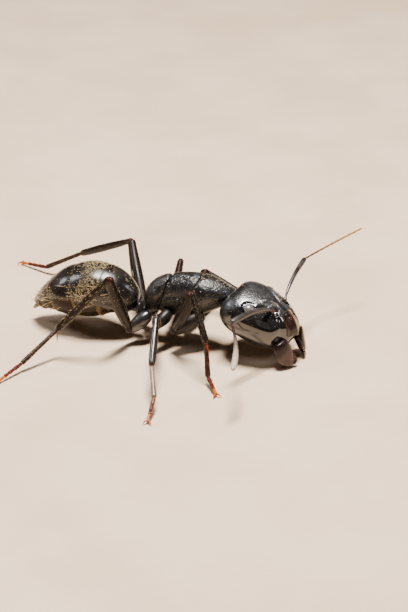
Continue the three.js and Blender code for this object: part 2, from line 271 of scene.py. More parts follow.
def points_of(piece):
    co = np.empty(len(piece.data.vertices) * 3)
    piece.data.vertices.foreach_get("co", co)
    return co.reshape(-1, 3)


def normals_of(piece):
    no = np.empty(len(piece.data.vertices) * 3)
    piece.data.vertices.foreach_get("normal", no)
    return no.reshape(-1, 3)


def set_points(piece, co):
    piece.data.vertices.foreach_set("co", np.ascontiguousarray(co, float).ravel())
    piece.data.update()


def press(piece, depth_at):
    """Moves the surface along its normals by what depth_at gives for each point, in mm."""
    co = points_of(piece)
    set_points(piece, co + normals_of(piece) * depth_at(co)[:, None])


def bump_at(co, centre, radii):
    """1 at centre, falling smoothly to 0 at a few radii."""
    return np.exp(-(((co - np.array(centre)) / np.array(radii)) ** 2).sum(1))


def along_line(co, points, width):
    """1 on a line through points, falling smoothly beside it."""
    near = np.full(len(co), np.inf)
    for a, b in zip(points[:-1], points[1:]):
        a, b = np.array(a, float), np.array(b, float)
        t = np.clip((co - a) @ (b - a) / ((b - a) @ (b - a)), 0, 1)
        near = np.minimum(near, np.linalg.norm(co - a - t[:, None] * (b - a), axis=1))
    return np.exp(-((near / width) ** 2))


def step(values, low, high):
    t = np.clip((values - low) / (high - low), 0, 1)
    return t * t * (3 - 2 * t)


def mark(piece, name, values):
    """Keeps a number at every point for the materials, such as how far along the piece it is."""
    layer = piece.data.attributes.new(name, "FLOAT", "POINT")
    layer.data.foreach_set("value", np.ascontiguousarray(values, np.float32))


def set_down(piece, place):
    """Sets a bench piece in its place on the ant, in metres, with the object at the origin."""
    use(piece)
    piece.matrix_world = Matrix.Diagonal((MM, MM, MM, 1)) @ Matrix.Translation(TRUNK_PLACE) @ place
    bpy.ops.object.transform_apply(location=True, rotation=True, scale=True)
    return piece


def keep(piece, material, slot, *nodes):
    """Gives a finished piece its material and its place in the frame."""
    piece.data.materials.clear()
    piece.data.materials.append(material)
    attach(piece, "root")
    if nodes:
        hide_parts(*nodes)
    return piece


def copy_of(piece, name):
    twin = piece.copy()
    twin.data = piece.data.copy()
    twin.name = twin.data.name = name
    bpy.context.scene.collection.objects.link(twin)
    return twin


def cut_away(piece, spot, normal, rim=0.0):
    """Cuts off all that lies ahead of a plane, closes the cut and rounds its edge."""
    use(piece)
    bpy.ops.object.mode_set(mode="EDIT")
    bpy.ops.mesh.select_all(action="SELECT")
    bpy.ops.mesh.bisect(plane_co=spot, plane_no=normal, use_fill=True, clear_outer=True, threshold=1e-5)
    if rim:
        bpy.ops.mesh.bevel(offset=rim, segments=2, profile=0.5, affect="EDGES")
    bpy.ops.object.mode_set(mode="OBJECT")
    bpy.ops.object.shade_smooth_by_angle(angle=math.radians(40))


# ---- materials ----


def new_group(name, inputs, outputs):
    group = bpy.data.node_groups.new(name, "ShaderNodeTree")
    for label, kind, value in inputs:
        socket = group.interface.new_socket(name=label, in_out="INPUT", socket_type=kind)
        socket.default_value = value
    for label, kind in outputs:
        group.interface.new_socket(name=label, in_out="OUTPUT", socket_type=kind)
    nodes = group.nodes
    return group, nodes.new("NodeGroupInput"), nodes.new("NodeGroupOutput")


def node(tree, kind, **settings):
    made = tree.nodes.new(kind)
    for key, value in settings.items():
        if key in made.inputs:
            made.inputs[key].default_value = value
        else:
            setattr(made, key, value)
    return made


def math_node(tree, operation, a, b=0.0, clamp=False):
    made = tree.nodes.new("ShaderNodeMath")
    made.operation = operation
    made.use_clamp = clamp
    for socket, value in zip(made.inputs, (a, b)):
        if isinstance(value, (int, float)):
            socket.default_value = value
        else:
            tree.links.new(value, socket)
    return made.outputs[0]


def mask_node(tree, value, low, high):
    made = tree.nodes.new("ShaderNodeMapRange")
    made.interpolation_type = "SMOOTHSTEP"
    tree.links.new(value, made.inputs["Value"])
    made.inputs["From Min"].default_value = low
    made.inputs["From Max"].default_value = high
    return made.outputs[0]


def mix_colour(tree, factor, a, b):
    made = tree.nodes.new("ShaderNodeMix")
    made.data_type = "RGBA"
    for label, value in (("Factor", factor), ("A", a), ("B", b)):
        socket = next(s for s in made.inputs if s.name == label and s.enabled)
        if isinstance(value, (tuple, float, int)):
            socket.default_value = value
        else:
            tree.links.new(value, socket)
    return next(s for s in made.outputs if s.enabled)


def make_grain_group():
    """The shell's leather-like grain, its fine pits and its slow unevenness."""
    group, given, out = new_group(
        "shell_grain",
        [("Coordinates", "NodeSocketVector", (0, 0, 0)), ("Cell", "NodeSocketFloat", 0.04),
         ("Pits", "NodeSocketFloat", 0.5)],
        [("Height", "NodeSocketFloat"), ("Tone", "NodeSocketFloat"), ("Pit", "NodeSocketFloat")],
    )
    links = group.links
    per_mm = math_node(group, "DIVIDE", 1 / MM, given.outputs["Cell"])
    cells = node(group, "ShaderNodeTexVoronoi", feature="SMOOTH_F1")
    links.new(given.outputs["Coordinates"], cells.inputs["Vector"])
    links.new(per_mm, cells.inputs["Scale"])
    pits = node(group, "ShaderNodeTexVoronoi", feature="F1")
    links.new(given.outputs["Coordinates"], pits.inputs["Vector"])
    links.new(math_node(group, "MULTIPLY", per_mm, 0.3), pits.inputs["Scale"])
    slow = node(group, "ShaderNodeTexNoise", Detail=4.0, Roughness=0.6)
    links.new(given.outputs["Coordinates"], slow.inputs["Vector"])
    slow.inputs["Scale"].default_value = 1.6 / MM
    pit = mask_node(group, pits.outputs["Distance"], 0.22, 0.05)
    held = math_node(group, "MULTIPLY", pit, given.outputs["Pits"])
    height = math_node(group, "SUBTRACT", cells.outputs["Distance"], held)
    links.new(height, out.inputs["Height"])
    links.new(slow.outputs["Fac"], out.inputs["Tone"])
    links.new(held, out.inputs["Pit"])
    return group


GRAIN = make_grain_group()
TONE_EDGES = (0.35, 0.68)
MARK_WAVER = 0.35  # how far a mark's edge strays, as a share of its width
POLISHED_ROUGHNESS = 0.06
DULLED_SHARE = 0.75
COAT_ROUGHNESS = 0.3
GRAIN_STRENGTH = 0.6


def shell_material(name, dark, light, rough=(0.28, 0.42), cell=0.035, bump=0.002, pits=0.5,
                   marks=None, specular=0.35, coat=0.0, uneven=0.5, polish=None, dull=None):
    """A horny shell: two tones, a grain, and colours that follow a piece's own marks.
    marks is a list of (attribute, low, high, colour). polish names a mark, and where that is
    1 the grain is gone and the shell shines like lacquer. dull names one where it hardly shines."""
    material = bpy.data.materials.new(name)
    material.use_nodes = True
    tree = material.node_tree
    shader = tree.nodes["Principled BSDF"]
    place = tree.nodes.new("ShaderNodeTexCoord").outputs["Object"]
    grain = tree.nodes.new("ShaderNodeGroup")
    grain.node_tree = GRAIN
    tree.links.new(place, grain.inputs["Coordinates"])
    grain.inputs["Cell"].default_value = cell
    grain.inputs["Pits"].default_value = pits
    tone = mask_node(tree, grain.outputs["Tone"], *TONE_EDGES)
    colour = mix_colour(tree, tone, (*dark, 1), (*light, 1))
    for attribute, low, high, tint in marks or []:
        layer = node(tree, "ShaderNodeAttribute", attribute_name=attribute)
        stray = math_node(tree, "SUBTRACT", grain.outputs["Tone"], 0.5)
        wave = math_node(tree, "MULTIPLY", stray, MARK_WAVER * abs(high - low))
        value = math_node(tree, "ADD", layer.outputs["Fac"], wave)
        colour = mix_colour(tree, mask_node(tree, value, low, high), colour, (*tint, 1))
    tree.links.new(colour, shader.inputs["Base Color"])
    spread = math_node(tree, "MULTIPLY", tone, rough[1] - rough[0])
    roughness = math_node(tree, "ADD", spread, rough[0])
    height = grain.outputs["Height"]
    if polish:
        shine = node(tree, "ShaderNodeAttribute", attribute_name=polish).outputs["Fac"]
        kept = math_node(tree, "SUBTRACT", 1.0, shine)
        roughness = math_node(tree, "MULTIPLY", roughness, kept)
        roughness = math_node(tree, "ADD", roughness, POLISHED_ROUGHNESS)
        height = math_node(tree, "MULTIPLY", height, kept)
    tree.links.new(roughness, shader.inputs["Roughness"])
    shader.inputs["Specular IOR Level"].default_value = specular
    if dull:
        worn = node(tree, "ShaderNodeAttribute", attribute_name=dull).outputs["Fac"]
        shine = math_node(tree, "SUBTRACT", 1.0, math_node(tree, "MULTIPLY", worn, DULLED_SHARE))
        tree.links.new(math_node(tree, "MULTIPLY", shine, specular), shader.inputs["Specular IOR Level"])
    shader.inputs["Coat Weight"].default_value = coat
    shader.inputs["Coat Roughness"].default_value = COAT_ROUGHNESS
    relief = node(tree, "ShaderNodeBump", Strength=GRAIN_STRENGTH, Distance=bump * MM)
    swell = math_node(tree, "MULTIPLY", grain.outputs["Tone"], uneven)
    tree.links.new(math_node(tree, "ADD", height, swell), relief.inputs["Height"])
    tree.links.new(relief.outputs["Normal"], shader.inputs["Normal"])
    return material


def hair_material(name, root, tip):
    """Stiff pale hair, darker at its root, each one a little different."""
    material = bpy.data.materials.new(name)
    material.use_nodes = True
    tree = material.node_tree
    shader = tree.nodes["Principled BSDF"]
    place = tree.nodes.new("ShaderNodeTexCoord").outputs["Object"]
    mottle = node(tree, "ShaderNodeTexNoise", Detail=2.0)
    tree.links.new(place, mottle.inputs["Vector"])
    mottle.inputs["Scale"].default_value = 6 / MM
    run = node(tree, "ShaderNodeAttribute", attribute_name="run")
    stray = math_node(tree, "MULTIPLY", mottle.outputs["Fac"], 0.5)
    share = math_node(tree, "ADD", run.outputs["Fac"], stray)
    colour = mix_colour(tree, mask_node(tree, share, 0.1, 1.0), (*root, 1), (*tip, 1))
    tree.links.new(colour, shader.inputs["Base Color"])
    tree.links.new(mask_node(tree, mottle.outputs["Fac"], -1.0, 2.2), shader.inputs["Roughness"])
    return material


BLACK = (0.006, 0.0055, 0.0055)
SOFT_BLACK = (0.014, 0.013, 0.013)
BROWN_BLACK = (0.011, 0.007, 0.005)
RED_BROWN = (0.09, 0.014, 0.005)
ORANGE_RED = (0.36, 0.04, 0.004)
GOLD_TAN = (0.4, 0.25, 0.09)
AMBER = (0.42, 0.21, 0.045)
OLIVE_BROWN = (0.018, 0.012, 0.007)
# Painted sheen: the mauve that the right mandible's blade is given.
PAINTED_SHEEN_MAUVE = (0.075, 0.036, 0.033)
CREAM = (0.5, 0.42, 0.33)

HEAD_SHELL = shell_material(
    "head_shell", BLACK, SOFT_BLACK, (0.29, 0.41), cell=0.062, bump=0.026, pits=0.5, specular=1.0,
    marks=[("pit", 0.35, 0.8, RED_BROWN), ("ridge", 0.4, 0.8, GOLD_TAN)], uneven=0.1, polish="polish")
CLYPEUS_SHELL = shell_material(
    "clypeus_shell", (0.012, 0.004, 0.004), (0.022, 0.008, 0.007), (0.2, 0.32), cell=0.05,
    marks=[("keel", 0.2, 0.9, (0.2, 0.13, 0.07)), ("edge", 0.3, 1.2, (0.075, 0.042, 0.02))])
TRUNK_SHELL = shell_material(
    "trunk_shell", BLACK, SOFT_BLACK, (0.27, 0.44), cell=0.07, bump=0.04, pits=0.9, specular=0.72,
    uneven=1.5, dull="under")
COXA_MARKS = [("run", 0.93, 1.02, RED_BROWN)]
COXA_SHELL = shell_material(
    "coxa_shell", BLACK, BROWN_BLACK, (0.3, 0.42), pits=0.3, specular=0.3, marks=COXA_MARKS)
BRIGHT_COXA_SHELL = shell_material(
    "bright_coxa_shell", BLACK, BROWN_BLACK, (0.26, 0.38), pits=0.3, specular=1.0, marks=COXA_MARKS)
GASTER_SHELL = shell_material(
    "gaster_shell", (0.009, 0.007, 0.006), (0.018, 0.014, 0.012), (0.21, 0.33), cell=0.08, bump=0.006,
    specular=0.6, uneven=0.4,
    marks=[("under", 0.35, 0.75, OLIVE_BROWN), ("rim", 0.3, 1.0, (0.2, 0.13, 0.055))], dull="under")
POINT_SHELL = shell_material("point_shell", (0.1, 0.05, 0.02), (0.3, 0.18, 0.07), (0.3, 0.45), pits=0.2)
LEG_MARKS = [("ends", 0.55, 1.0, (0.035, 0.008, 0.005)), ("ends", 0.9, 1.2, (0.13, 0.013, 0.005))]
LEG_SHELL = shell_material(
    "leg_shell", (0.008, 0.0055, 0.004), (0.016, 0.009, 0.0055), (0.26, 0.4), pits=0.3, specular=0.15,
    marks=LEG_MARKS)
# A lighter, glossier copy of the leg shell: painted highlight for the one tibia that catches the light.
PAINTED_HIGHLIGHT_LEG_SHELL = shell_material(
    "leg_shell_painted_highlight", (0.01, 0.007, 0.005), (0.024, 0.012, 0.007), (0.18, 0.28), pits=0.3, specular=0.6,
    marks=LEG_MARKS)
RED_LEG_SHELL = shell_material(
    "red_leg_shell", (0.011, 0.004, 0.003), (0.024, 0.007, 0.004), (0.3, 0.42), pits=0.3, specular=0.15,
    marks=LEG_MARKS)
FOOT_MARKS = [("toes", 0.25, 0.6, (0.1, 0.011, 0.006)), ("toes", 0.8, 1.0, (0.42, 0.1, 0.01)),
              ("ends", 0.7, 1.2, (0.08, 0.01, 0.005))]
FOOT_SHELLS = {
    "hind": shell_material(
        "foot_shell_hind", (0.018, 0.008, 0.005), (0.04, 0.016, 0.009), (0.34, 0.46), pits=0.2, specular=0.15,
        marks=FOOT_MARKS),
    # The middle feet are much paler than the others: a painted highlight laid over their brown.
    "mid": shell_material(
        "foot_shell_mid_painted_highlight", (0.12, 0.08, 0.045), (0.24, 0.17, 0.1), (0.22, 0.34), pits=0.2, specular=0.5,
        marks=FOOT_MARKS),
    "fore": shell_material(
        "foot_shell_fore", (0.02, 0.006, 0.004), (0.045, 0.013, 0.007), (0.34, 0.46), pits=0.2, specular=0.15,
        marks=FOOT_MARKS),
}
SPUR_SHELL = shell_material("spur_shell", (0.3, 0.02, 0.005), ORANGE_RED, (0.25, 0.4), pits=0.0)
FEELER_SHELLS = {
    "right": shell_material(
        "feeler_shell_right", (0.03, 0.014, 0.014), (0.06, 0.027, 0.026), (0.3, 0.45), pits=0.2,
        marks=[("run", 0.3, 0.9, CREAM)]),
    "left": shell_material(
        "feeler_shell_left", (0.07, 0.03, 0.012), (0.14, 0.06, 0.02), (0.3, 0.45), pits=0.2,
        marks=[("run", 0.1, 0.95, AMBER)]),
}
SCAPE_SHELL = shell_material(
    "scape_shell", (0.016, 0.01, 0.009), (0.05, 0.04, 0.038), (0.3, 0.42), pits=0.2, specular=0.8,
    marks=[("ends", 0.4, 1.0, RED_BROWN)])
JAW_SHELLS = {
    # The right blade's mauve is painted sheen on its outer face; the run mark keeps its base dark, clear of
    # that painted sheen.
    "right": shell_material(
        "jaw_shell_right_painted_sheen", (0.035, 0.014, 0.013), PAINTED_SHEEN_MAUVE, (0.24, 0.38), cell=0.07, bump=0.01, pits=0.8,
        marks=[("run", 0.55, 0.3, (0.01, 0.004, 0.004)), ("edge", 0.5, 0.9, (0.03, 0.008, 0.006))]),
    "left": shell_material(
        "jaw_shell_left", (0.04, 0.011, 0.006), (0.075, 0.018, 0.008), (0.16, 0.28), pits=0.4,
        marks=[("edge", 0.3, 0.9, (0.012, 0.005, 0.004))]),
}
# The eyes' pale grey is partly their own grey and partly a painted highlight.
EYE_GREY_AND_PAINTED_HIGHLIGHT = shell_material(
    "eye_grey_and_painted_highlight", (0.1, 0.097, 0.093), (0.18, 0.174, 0.166), (0.22, 0.3), cell=0.022, bump=0.002, pits=0.0,
    specular=1.0, coat=1.0)
GOLD_HAIR = hair_material("gold_hair", (0.28, 0.17, 0.06), (0.85, 0.68, 0.38))
PALE_HAIR = hair_material("pale_hair", (0.06, 0.06, 0.06), (0.34, 0.33, 0.31))
DARK_HAIR = hair_material("dark_hair", (0.05, 0.03, 0.017), (0.24, 0.17, 0.1))

# ---- head ----


def head_place():
    """Where a bench piece goes that is drawn out along the head's own length."""
    turn = Matrix.Rotation(math.radians(HEAD_TURN), 4, "Z")
    dip = Matrix.Rotation(math.radians(HEAD_DIP), 4, "Y")
    return Matrix.Translation(HEAD_CENTRE) @ turn @ dip @ stand(Vector(), AHEAD)


def head_frame():
    """Carries a point of the head's own frame to its place on the ant."""
    return head_place() @ stand(Vector(), AHEAD).inverted()


def head_rings(count=15):
    return rings_of([(HEAD_BACK, 0), (HEAD_FRONT, 0)], HEAD_SECTIONS, count, HEAD_BLUNTNESS)


def carina_line(side):
    """The ridge between the feeler sockets, on one side of the middle."""
    return [on_bench(0.86, 0.24 * side, 0.93), on_bench(0.62, 0.22 * side, 0.98),
            on_bench(0.4, 0.2 * side, 1.03), on_bench(0.15, 0.3 * side, 1.02),
            on_bench(-0.1, 0.48 * side, 0.96)]


def socket_spot(side):
    return on_bench(SOCKET.x, SOCKET.y * side, SOCKET.z)


# Lines and hollows pressed into the head: the depth, the width or radii, and the places.
NAPE_HOLLOW = {"at": (HEAD_BACK, 0, 0), "depth": 0.3, "radii": (0.7, 0.55, 0.35)}
CARINA = {"height": 0.08, "width": 0.07}
SOCKET_PIT = {"depth": 0.13, "radii": (0.17, 0.4, 0.17)}
SOCKET_LIP = {"height": 0.035, "radius": 0.23, "width": 0.05, "weigh": (1, 0.3, 1)}
EYE_GROOVE = {"depth": 0.055, "radius": 0.28, "width": 0.04, "ends": (0.12, -0.08), "stretch": (1, 1, 1.1)}
CHEEK_HOLLOW = {"at": (1.44, 0.8, 0.24), "depth": 0.15, "radii": (0.34, 0.36, 0.3)}
BROW_GROOVE = {"line": [(0.9, 0.62, 0.8), (1.35, 0.84, 0.45)], "depth": 0.025, "width": 0.08}
FRONTAL_LINE = {"line": [(0.75, 0, 1.1), (-0.2, 0, 1.1)], "depth": 0.02, "width": 0.025}
CLYPEUS_SEAM = {
    "line": [(1.6, -0.66, 0.7), (CLYPEUS_BACK, -0.4, 1.0), (CLYPEUS_BACK - 0.06, 0, 1.05),
             (CLYPEUS_BACK, 0.4, 1.0), (1.6, 0.66, 0.7)],
    "depth": 0.045, "width": 0.04,
}


def groove(co, cut, side=1):
    """How far a line sinks the surface at each point, on the side that it is drawn for."""
    line = [on_bench(x, y * side, z) for x, y, z in cut["line"]]
    return cut["depth"] * along_line(co, line, cut["width"])


def hollow(co, cut, side=1):
    x, y, z = cut["at"]
    return cut["depth"] * bump_at(co, on_bench(x, y * side, z), cut["radii"])


def ring_round(distance, cut):
    """1 all along a ring at the cut's radius, falling smoothly on each side of it."""
    return np.exp(-(((distance - cut["radius"]) / cut["width"]) ** 2))


def shape_head(co):
    relief = -hollow(co, NAPE_HOLLOW)
    for side in SIDES.values():
        relief += CARINA["height"] * along_line(co, carina_line(side), CARINA["width"])
        pit = socket_spot(side)
        relief -= SOCKET_PIT["depth"] * bump_at(co, pit, SOCKET_PIT["radii"])
        from_pit = np.linalg.norm((co - np.array(pit)) * SOCKET_LIP["weigh"], axis=1)
        relief += SOCKET_LIP["height"] * ring_round(from_pit, SOCKET_LIP)
        eye = on_bench(EYE_CENTRE.x, EYE_CENTRE.y * side, EYE_CENTRE.z)
        from_eye = np.linalg.norm((co - np.array(eye)) / EYE_GROOVE["stretch"], axis=1)
        behind_eye = step(co[:, 2], *(EYE_CENTRE.x + end for end in EYE_GROOVE["ends"]))
        relief -= EYE_GROOVE["depth"] * behind_eye * ring_round(from_eye, EYE_GROOVE)
        relief -= hollow(co, CHEEK_HOLLOW, side) + groove(co, BROW_GROOVE, side)
    return relief - groove(co, FRONTAL_LINE) - groove(co, CLYPEUS_SEAM)


def make_head():
    head = draw_out("head_capsule", head_rings(), sides=24, levels=3)
    press(head, shape_head)
    co = points_of(head)
    ridge = sum(along_line(co, carina_line(side)[:4], 0.06) for side in SIDES.values())
    pit = sum(bump_at(co, socket_spot(side), (0.16, 0.3, 0.16)) for side in SIDES.values())
    border = 0.68 + 0.22 * step(co[:, 2], -0.5, 0.0)
    mark(head, "polish", step(co[:, 1] - border, 0.08, -0.06) * (0.3 + 0.7 * step(co[:, 2], -0.9, -0.5)))
    mark(head, "ridge", ridge)
    mark(head, "pit", pit)
    set_down(head, head_place())
    keep(head, HEAD_SHELL, "shell_black", "head")


def shape_clypeus(co):
    """A keel along the plate's middle with a shallow dip on each side of it."""
    relief = 0.03 + 0.09 * along_line(co, [on_bench(0.95, 0, 0.95), on_bench(1.75, 0, 0.3)], 0.16)
    for side in SIDES.values():
        dip = [on_bench(1.1, 0.28 * side, 0.85), on_bench(1.55, 0.45 * side, 0.5)]
        relief -= 0.03 * along_line(co, dip, 0.12)
    return relief


def make_clypeus():
    """The face plate: a thin slice of the head's own front, cut out as a wedge and raised."""
    plate = draw_out("clypeus_plate", head_rings(), sides=24, levels=3)
    press(plate, shape_clypeus)
    back, front = CLYPEUS_HALF_WIDTH
    widen = math.atan2(front - back, CLYPEUS_REACH)
    cut_away(plate, on_bench(CLYPEUS_BACK, 0, 0), on_bench(-1, 0, 0))
    cut_away(plate, on_bench(0, 0, CLYPEUS_FLOOR), on_bench(0, 0, -1))
    for side in SIDES.values():
        normal = on_bench(-math.sin(widen), side * math.cos(widen), 0)
        cut_away(plate, on_bench(CLYPEUS_BACK, back * side, 0), normal)
    co = points_of(plate)
    ahead = co[:, 2] - CLYPEUS_BACK
    from_side = back * math.cos(widen) + ahead * math.sin(widen) - np.abs(co[:, 0]) * math.cos(widen)
    mark(plate, "edge", 1 - step(np.minimum(from_side, ahead), 0.0, 0.06))
    mark(plate, "keel", 1 - step(np.abs(co[:, 0] - 0.1), 0.05, 0.2))
    set_down(plate, head_place())
    keep(plate, CLYPEUS_SHELL, "shell_black", "clypeus")


def make_eye(name, side):
    clear_selection()
    bpy.ops.mesh.primitive_ico_sphere_add(subdivisions=5, radius=1)
    eye = bpy.context.object
    eye.name = eye.data.name = f"eye_ball_{name}"
    eye.data.transform(Matrix.Diagonal((*EYE_RADII, 1)))
    bpy.ops.object.shade_smooth()
    sink = EYE_SINK[name]
    centre = Vector((EYE_CENTRE.x, (EYE_CENTRE.y - 0.6 * sink) * side, EYE_CENTRE.z - 0.8 * sink))
    tilt = Matrix.Rotation(side * math.radians(EYE_TILT), 4, "X")
    set_down(eye, head_frame() @ Matrix.Translation(centre) @ tilt)
    keep(eye, EYE_GREY_AND_PAINTED_HIGHLIGHT, "eye_grey", f"eye_{name}")


def make_mandible(name, side):
    """A curved blade whose teeth stand along its inner edge."""
    roll = math.radians(MANDIBLE_ROLL)
    blade_normal = Vector((0, math.sin(roll) * side, math.cos(roll)))
    path = [Vector((x, y * side, z)) for x, y, z in MANDIBLE_PATH]
    chord = (path[-1] - path[0]).normalized()
    inward = blade_normal.cross(chord).normalized() * -side
    bench_path = [((p - path[0]).dot(chord), (p - path[0]).dot(inward)) for p in path]
    sections = [(w * JAW_THICKNESS[name], high, deep) for w, high, deep in MANDIBLE_SECTIONS]
    rings = rings_of(bench_path, sections, 12, MANDIBLE_BLUNTNESS)
    blade = draw_out(f"mandible_blade_{name}", rings, sides=14, levels=2)
    use(blade)
    bpy.ops.object.mode_set(mode="EDIT")
    for i in range(TOOTH_COUNT):
        share = TEETH_FROM + (TEETH_TO - TEETH_FROM) * i / (TOOTH_COUNT - 1)
        y, z, slope, _, high = ring_at(bench_path, sections, share, MANDIBLE_BLUNTNESS)
        lean = slope - 0.35
        reach = high * 0.96 + (0.02 if i < TOOTH_COUNT - 1 else 0.06)
        spot = (0, y + reach * math.cos(lean), z - reach * math.sin(lean))
        size = 0.055 + 0.008 * i
        bpy.ops.mesh.primitive_cone_add(vertices=10, radius1=size, radius2=size * 0.2, depth=0.17 + 0.015 * i,
                                        location=spot, rotation=(-math.pi / 2 - lean, 0, 0))
    bpy.ops.object.mode_set(mode="OBJECT")
    bpy.ops.object.shade_smooth_by_angle(angle=math.radians(50))
    co = points_of(blade)
    line = np.array([between(bench_path, t) for t in np.linspace(0, 1, 60)])
    nearest = np.argmin(((co[:, None, (2, 1)] - line[None]) ** 2).sum(2), axis=1)
    offset = co[:, 1] - line[nearest, 1]
    mark(blade, "edge", step(offset, 0.1, 0.3) + step(co[:, 2] / bench_path[-1][0], 0.8, 1.0))
    mark(blade, "run", co[:, 2] / bench_path[-1][0])
    set_down(blade, head_frame() @ stand(path[0], chord, inward))
    keep(blade, JAW_SHELLS[name], "jaw_red", f"mandible_{name}")


# ---- feelers ----


def feeler_joints(name, side):
    pose = ANTENNAE[name]
    socket = head_frame() @ Vector((SOCKET.x, SOCKET.y * side, SOCKET.z)) + UP * SCAPE_LIFT
    elbow = socket + heading(*pose["scape"], side) * SCAPE_LENGTH - UP * ELBOW_DROP[name]
    bend = elbow + heading(*pose["start"], side) * FUNICULUS_LENGTH / 2
    tip = bend + heading(*pose["end"], side) * FUNICULUS_LENGTH / 2
    return elbow, bend, tip


def make_scape(name, side):
    elbow = feeler_joints(name, side)[0]
    root = head_frame() @ Vector((SOCKET.x, SOCKET.y * side, SOCKET.z - SCAPE_ROOT_SINK))
    length = (elbow - root).length
    bow, thick = SCAPE_BOW[name], SCAPE_RADIUS[name]
    rings = []
    for share, size in ((0, 0.55), (0.02, 0.95), (0.045, 0.9), (0.07, 0.45), (0.1, 0.42), (0.16, 0.66),
                        (0.35, 0.8), (0.6, 0.9), (0.85, 1.05), (0.95, 1.08), (0.99, 0.9), (1.0, 0.5)):
        swing = math.pi * share ** 0.75
        lift = bow * math.sin(swing)
        slope = bow * math.cos(swing) * 0.75 * math.pi / (max(share, 0.05) ** 0.25 * length)
        rings.append((lift, share * length, slope, thick * size, thick * size))
    scape = draw_out(f"scape_shaft_{name}", rings, sides=12, levels=2)
    redness = 1.0 if name == "right" else 0.3
    mark(scape, "ends", redness * np.clip(1 - points_of(scape)[:, 2] / (0.12 * length), 0, 1))
    set_down(scape, stand(root, elbow - root))
    keep(scape, SCAPE_SHELL, "leg_brown", f"scape_{name}")


def make_funiculus(name, side):
    """Eleven joints of one length, each widening to its end, the last one pointed."""
    elbow, bend, tip = feeler_joints(name, side)
    chord = (tip - elbow).normalized()
    out = (bend - elbow) - chord * (bend - elbow).dot(chord)
    length = (tip - elbow).length
    reach = out.length / 2
    back = out.normalized()
    rings = []
    thin, thick = FUNICULUS_RADII[name]
    sizes = [(0.0, 0.72), (0.12, 0.84), (0.75, 1.0), (0.93, 0.92)]
    for joint in range(FUNICULUS_JOINTS):
        for part, size in sizes:
            share = (joint + part) / FUNICULUS_JOINTS
            if joint == FUNICULUS_JOINTS - 1 and part > 0.7:
                size *= 0.72 if part < 0.9 else 0.3
            z = share * length
            y = 4 * reach * share * (1 - share)
            slope = math.atan2(4 * reach * (1 - 2 * share), length)
            radius = thin + (thick - thin) * min(max((share - 0.2) / 0.55, 0), 1)
            rings.append((y, z, slope, radius * size, radius * size))
    whip = draw_out(f"funiculus_joints_{name}", rings, sides=10, levels=2)
    mark(whip, "run", points_of(whip)[:, 2] / length)
    set_down(whip, stand(elbow, chord, back))
    keep(whip, FEELER_SHELLS[name], "leg_brown", f"funiculus_{name}")


# ---- trunk and waist ----


def trunk_body(name):
    body = draw_out(name, rings_of(TRUNK_PATH, TRUNK_SECTIONS, 16, 0.5), sides=24, levels=3)
    press(body, shape_trunk)
    mark(body, "under", step(points_of(body)[:, 1], 2.35, 1.95))
    return body


SIDE_SEAMS = [
    {"line": [(0.3, 0.65, 2.65), (0.0, 0.72, 2.45), (-0.15, 0.75, 2.0), (-0.1, 0.65, 1.5)],
     "depth": 0.08, "width": 0.08},
    {"line": [(-0.82, 0.4, 2.85), (-0.88, 0.58, 2.54), (-1.1, 0.62, 2.1), (-1.35, 0.45, 1.55)],
     "depth": 0.1, "width": 0.09},
    {"line": [(0.1, 0.75, 2.3), (-0.45, 0.72, 2.36), (-0.85, 0.65, 2.25)], "depth": 0.05, "width": 0.06},
    {"line": [(0.6, 0.7, 2.15), (1.2, 0.66, 2.25), (1.6, 0.45, 2.35)], "depth": 0.06, "width": 0.07},
]
SIDE_SWELLS = [  # a swell is a hollow that stands out
    {"at": (-0.45, 0.85, 1.9), "depth": -0.08, "radii": (0.5, 0.3, 0.3)},
    {"at": (-1.4, 0.55, 2.15), "depth": -0.06, "radii": (0.4, 0.3, 0.25)},
]
SPIRACLE = {"at": (-1.35, 0.55, 2.3), "height": 0.02, "radius": 0.1, "width": 0.03}
BACK_ARCH = {"top": 3.2, "fall": 0.95, "half_width": 0.68}  # the back's height along the first suture
WAIST_GROOVE = {
    "line": [(-0.82, y, 3.1 - 0.6 * y * y) for y in np.linspace(-0.7, 0.7, 9)],
    "depth": 0.1, "width": 0.1,
}


def pronotum_furrow():
    """The furrow that runs over the back along the pronotum's rear edge."""
    lean = math.tan(math.radians(PRONOTUM_SUTURE["lean"]))
    line = []
    for y in np.linspace(-BACK_ARCH["half_width"], BACK_ARCH["half_width"], 13):
        z = BACK_ARCH["top"] - BACK_ARCH["fall"] * y * y
        line.append((PRONOTUM_SUTURE["x"] + lean * (z - PRONOTUM_SUTURE["z"]), y, z))
    return {"line": line, "depth": 0.06, "width": 0.06}


def shape_trunk(co):
    relief = -groove(co, pronotum_furrow()) - groove(co, WAIST_GROOVE)
    x, y, z = SPIRACLE["at"]
    for side in SIDES.values():
        relief -= sum(groove(co, seam, side) for seam in SIDE_SEAMS)
        relief -= sum(hollow(co, swell, side) for swell in SIDE_SWELLS)
        from_hole = np.linalg.norm(co - np.array(on_bench(x, y * side, z)), axis=1)
        relief += SPIRACLE["height"] * ring_round(from_hole, SPIRACLE)
    return relief


def suture_plane(suture, way):
    lean = math.radians(suture["lean"])
    normal = Vector((math.cos(lean), 0, -math.sin(lean)))
    spot = Vector((suture["x"], 0, suture["z"])) - normal * way * SUTURE_GAP / 2
    return on_bench(*spot), on_bench(*(normal * way))


def make_trunk():
    """Three plates, parted by the sutures across the back."""
    whole = trunk_body("trunk_blank")
    plates = {
        "pronotum": [(PRONOTUM_SUTURE, -1)],
        "mesonotum": [(PRONOTUM_SUTURE, 1), (PROPODEUM_SUTURE, -1)],
        "propodeum": [(PROPODEUM_SUTURE, 1)],
    }
    for name, cuts in plates.items():
        plate = copy_of(whole, f"{name}_plate")
        for suture, way in cuts:
            cut_away(plate, *suture_plane(suture, way), rim=0.02)
        set_down(plate, stand(Vector(), AHEAD))
        keep(plate, TRUNK_SHELL, "shell_black", name)
    bpy.data.objects.remove(whole)


